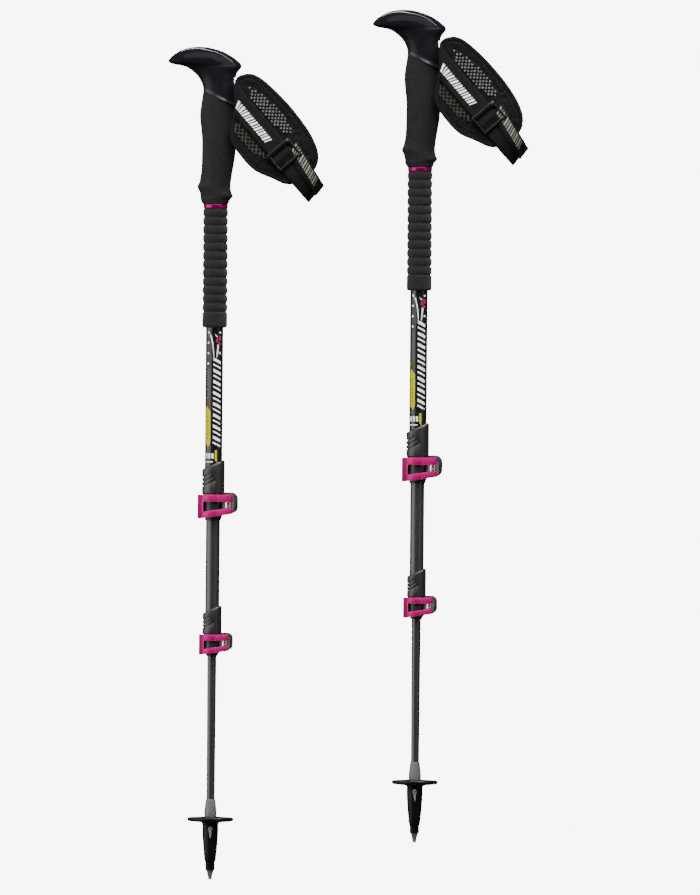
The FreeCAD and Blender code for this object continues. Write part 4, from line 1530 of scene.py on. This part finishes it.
def print_tube():
    """Bold slanting bars, leaves, dots and dashes: a plain decoration, with a grey patch that paints the
    tube's highlight.
    """
    bars = []
    for group in range(BAR_GROUPS):
        z = BAR_FIRST_Z - BAR_PITCH * group
        bars += [box_outline(BAR_LEFT, BAR_RIGHT, z, 3.1, BAR_LEAN),
                 box_outline(BAR_LEFT, BAR_RIGHT, z - 6.4, 1.8, BAR_LEAN)]
    tube_print("bars", bars, WHITE_INK)
    tube_print("dots", [disc_outline(*spot) for spot in DOTS_AT], WHITE_INK)
    tube_print("swoosh", SWOOSH, SILVER_INK)
    # the grey patch: painted highlight
    tube_print("shade", PAINTED_HIGHLIGHT_PATCH, HIGHLIGHT_INK, UNDER_LIFT)
    tube_print("diamond", PETALS, PINK_INK, OVER_LIFT)
    tube_print("label", LABEL, LABEL_INK)
    marks = [TAN_PATCH] + [box_outline(-46, -40, z, 2.6) for z in np.arange(492, 465, -4.6)]
    tube_print("label_marks", marks, TAN_INK, OVER_LIFT)
    dashes = [box_outline(x, x + 14, 452.0, 5.5) for x in (-58, -36, -14)]
    tube_print("dashes", dashes + [box_outline(-62, -4, 443.5, 1.2)], SILVER_INK)


# Every piece


make_stage(make_camera())

for name, material in NODE_MATERIALS.items():
    for side in SIDES:
        data = frame["nodes"][side + "_" + name].data
        data.materials.clear()
        data.materials.append(material)

place("palm_rest", palm_rest(), "upper_section", "grip_head", "palm_rest_plastic")
place("hand_grip", hand_grip(), "upper_section", "grip_handle", "grip_rubber")
for piece in place("foam_grip", foam_grip(), "upper_section", "foam_sleeve", "foam"):
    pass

softened("collar_ring", 0.15, RING)
for which in ("upper", "lower"):
    softened(which + "_clamp_body", 0.35, CLAMP)
    softened(which + "_clamp_lever", 0.4, MAGENTA)
    softened(which + "_clamp_barrel", 0.25, BRASS)
    softened(which + "_clamp_screw", 0.15, STEEL)
softened("tip_ferrule", 0.2, FERRULE)
place("ferrule_boss", ferrule_boss(), "lower_section", slot="ferrule_plastic")
place("boss_dimple", boss_dimple(), "lower_section", slot="ferrule_plastic")
softened("basket", 0.3, BASKET)
softened("carbide_tip", 0.08, CARBIDE)

cuff = filled_cuff()
strap_uv(cuff)
cuff_surface = Surface(cuff)
for piece in place("wrist_cuff", cuff, "wrist_strap", "strap_cuff", "strap_padding"):
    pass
sewn_lines = [shrunk(OUTLINE, STITCH_INSET), stepped(MESH_PANEL, 2.0)]
cuff_trims = {"cuff_binding": cuff_binding(), "cuff_mesh_knots": mesh_knots(cuff_surface),
              "cuff_net": net_threads(cuff_surface), "cuff_stitching": stitching(cuff_surface, sewn_lines)}
for name, mesh in cuff_trims.items():
    place(name, mesh, "wrist_strap", slot="strap_padding")

run = webbing_path()
tail_run = tail_path()
webbing = band("webbing", run, lambda share: BAND_MIDDLE, (BAND_HIGH - BAND_LOW) / 2, WEBBING_THICK)
tail = band("webbing_tail", tail_run, tail_middle, TAIL_HALF, WEBBING_THICK)
bars = print_bars("webbing_print", run, lambda share: PRINT_C, bar_pattern(4.0, 57.0, 8), PRINT_WIDTH,
                  BAR_SLANT, PRINT)
tail_bars = print_bars("tail_print", tail_run, tail_middle, bar_pattern(2.5, 50.0, 7), TAIL_PRINT_WIDTH,
                       -BAR_SLANT, PALE_PRINT)
place("strap_webbing_band", webbing, "wrist_strap", "strap_webbing", "strap_webbing")
place("webbing_print", bars, "wrist_strap", slot="strap_webbing")
place("strap_webbing_tail", tail, "wrist_strap", slot="strap_webbing")
place("tail_print", tail_bars, "wrist_strap", slot="strap_webbing")
place("strap_ladder_buckle", buckle(), "wrist_strap", "strap_buckle", "buckle_plastic")
place("strap_tab_loop", tab_loop(), "wrist_strap", "strap_tab", "strap_webbing")
place("strap_cross_band", cross_band(), "wrist_strap", slot="strap_webbing")

print_tube()
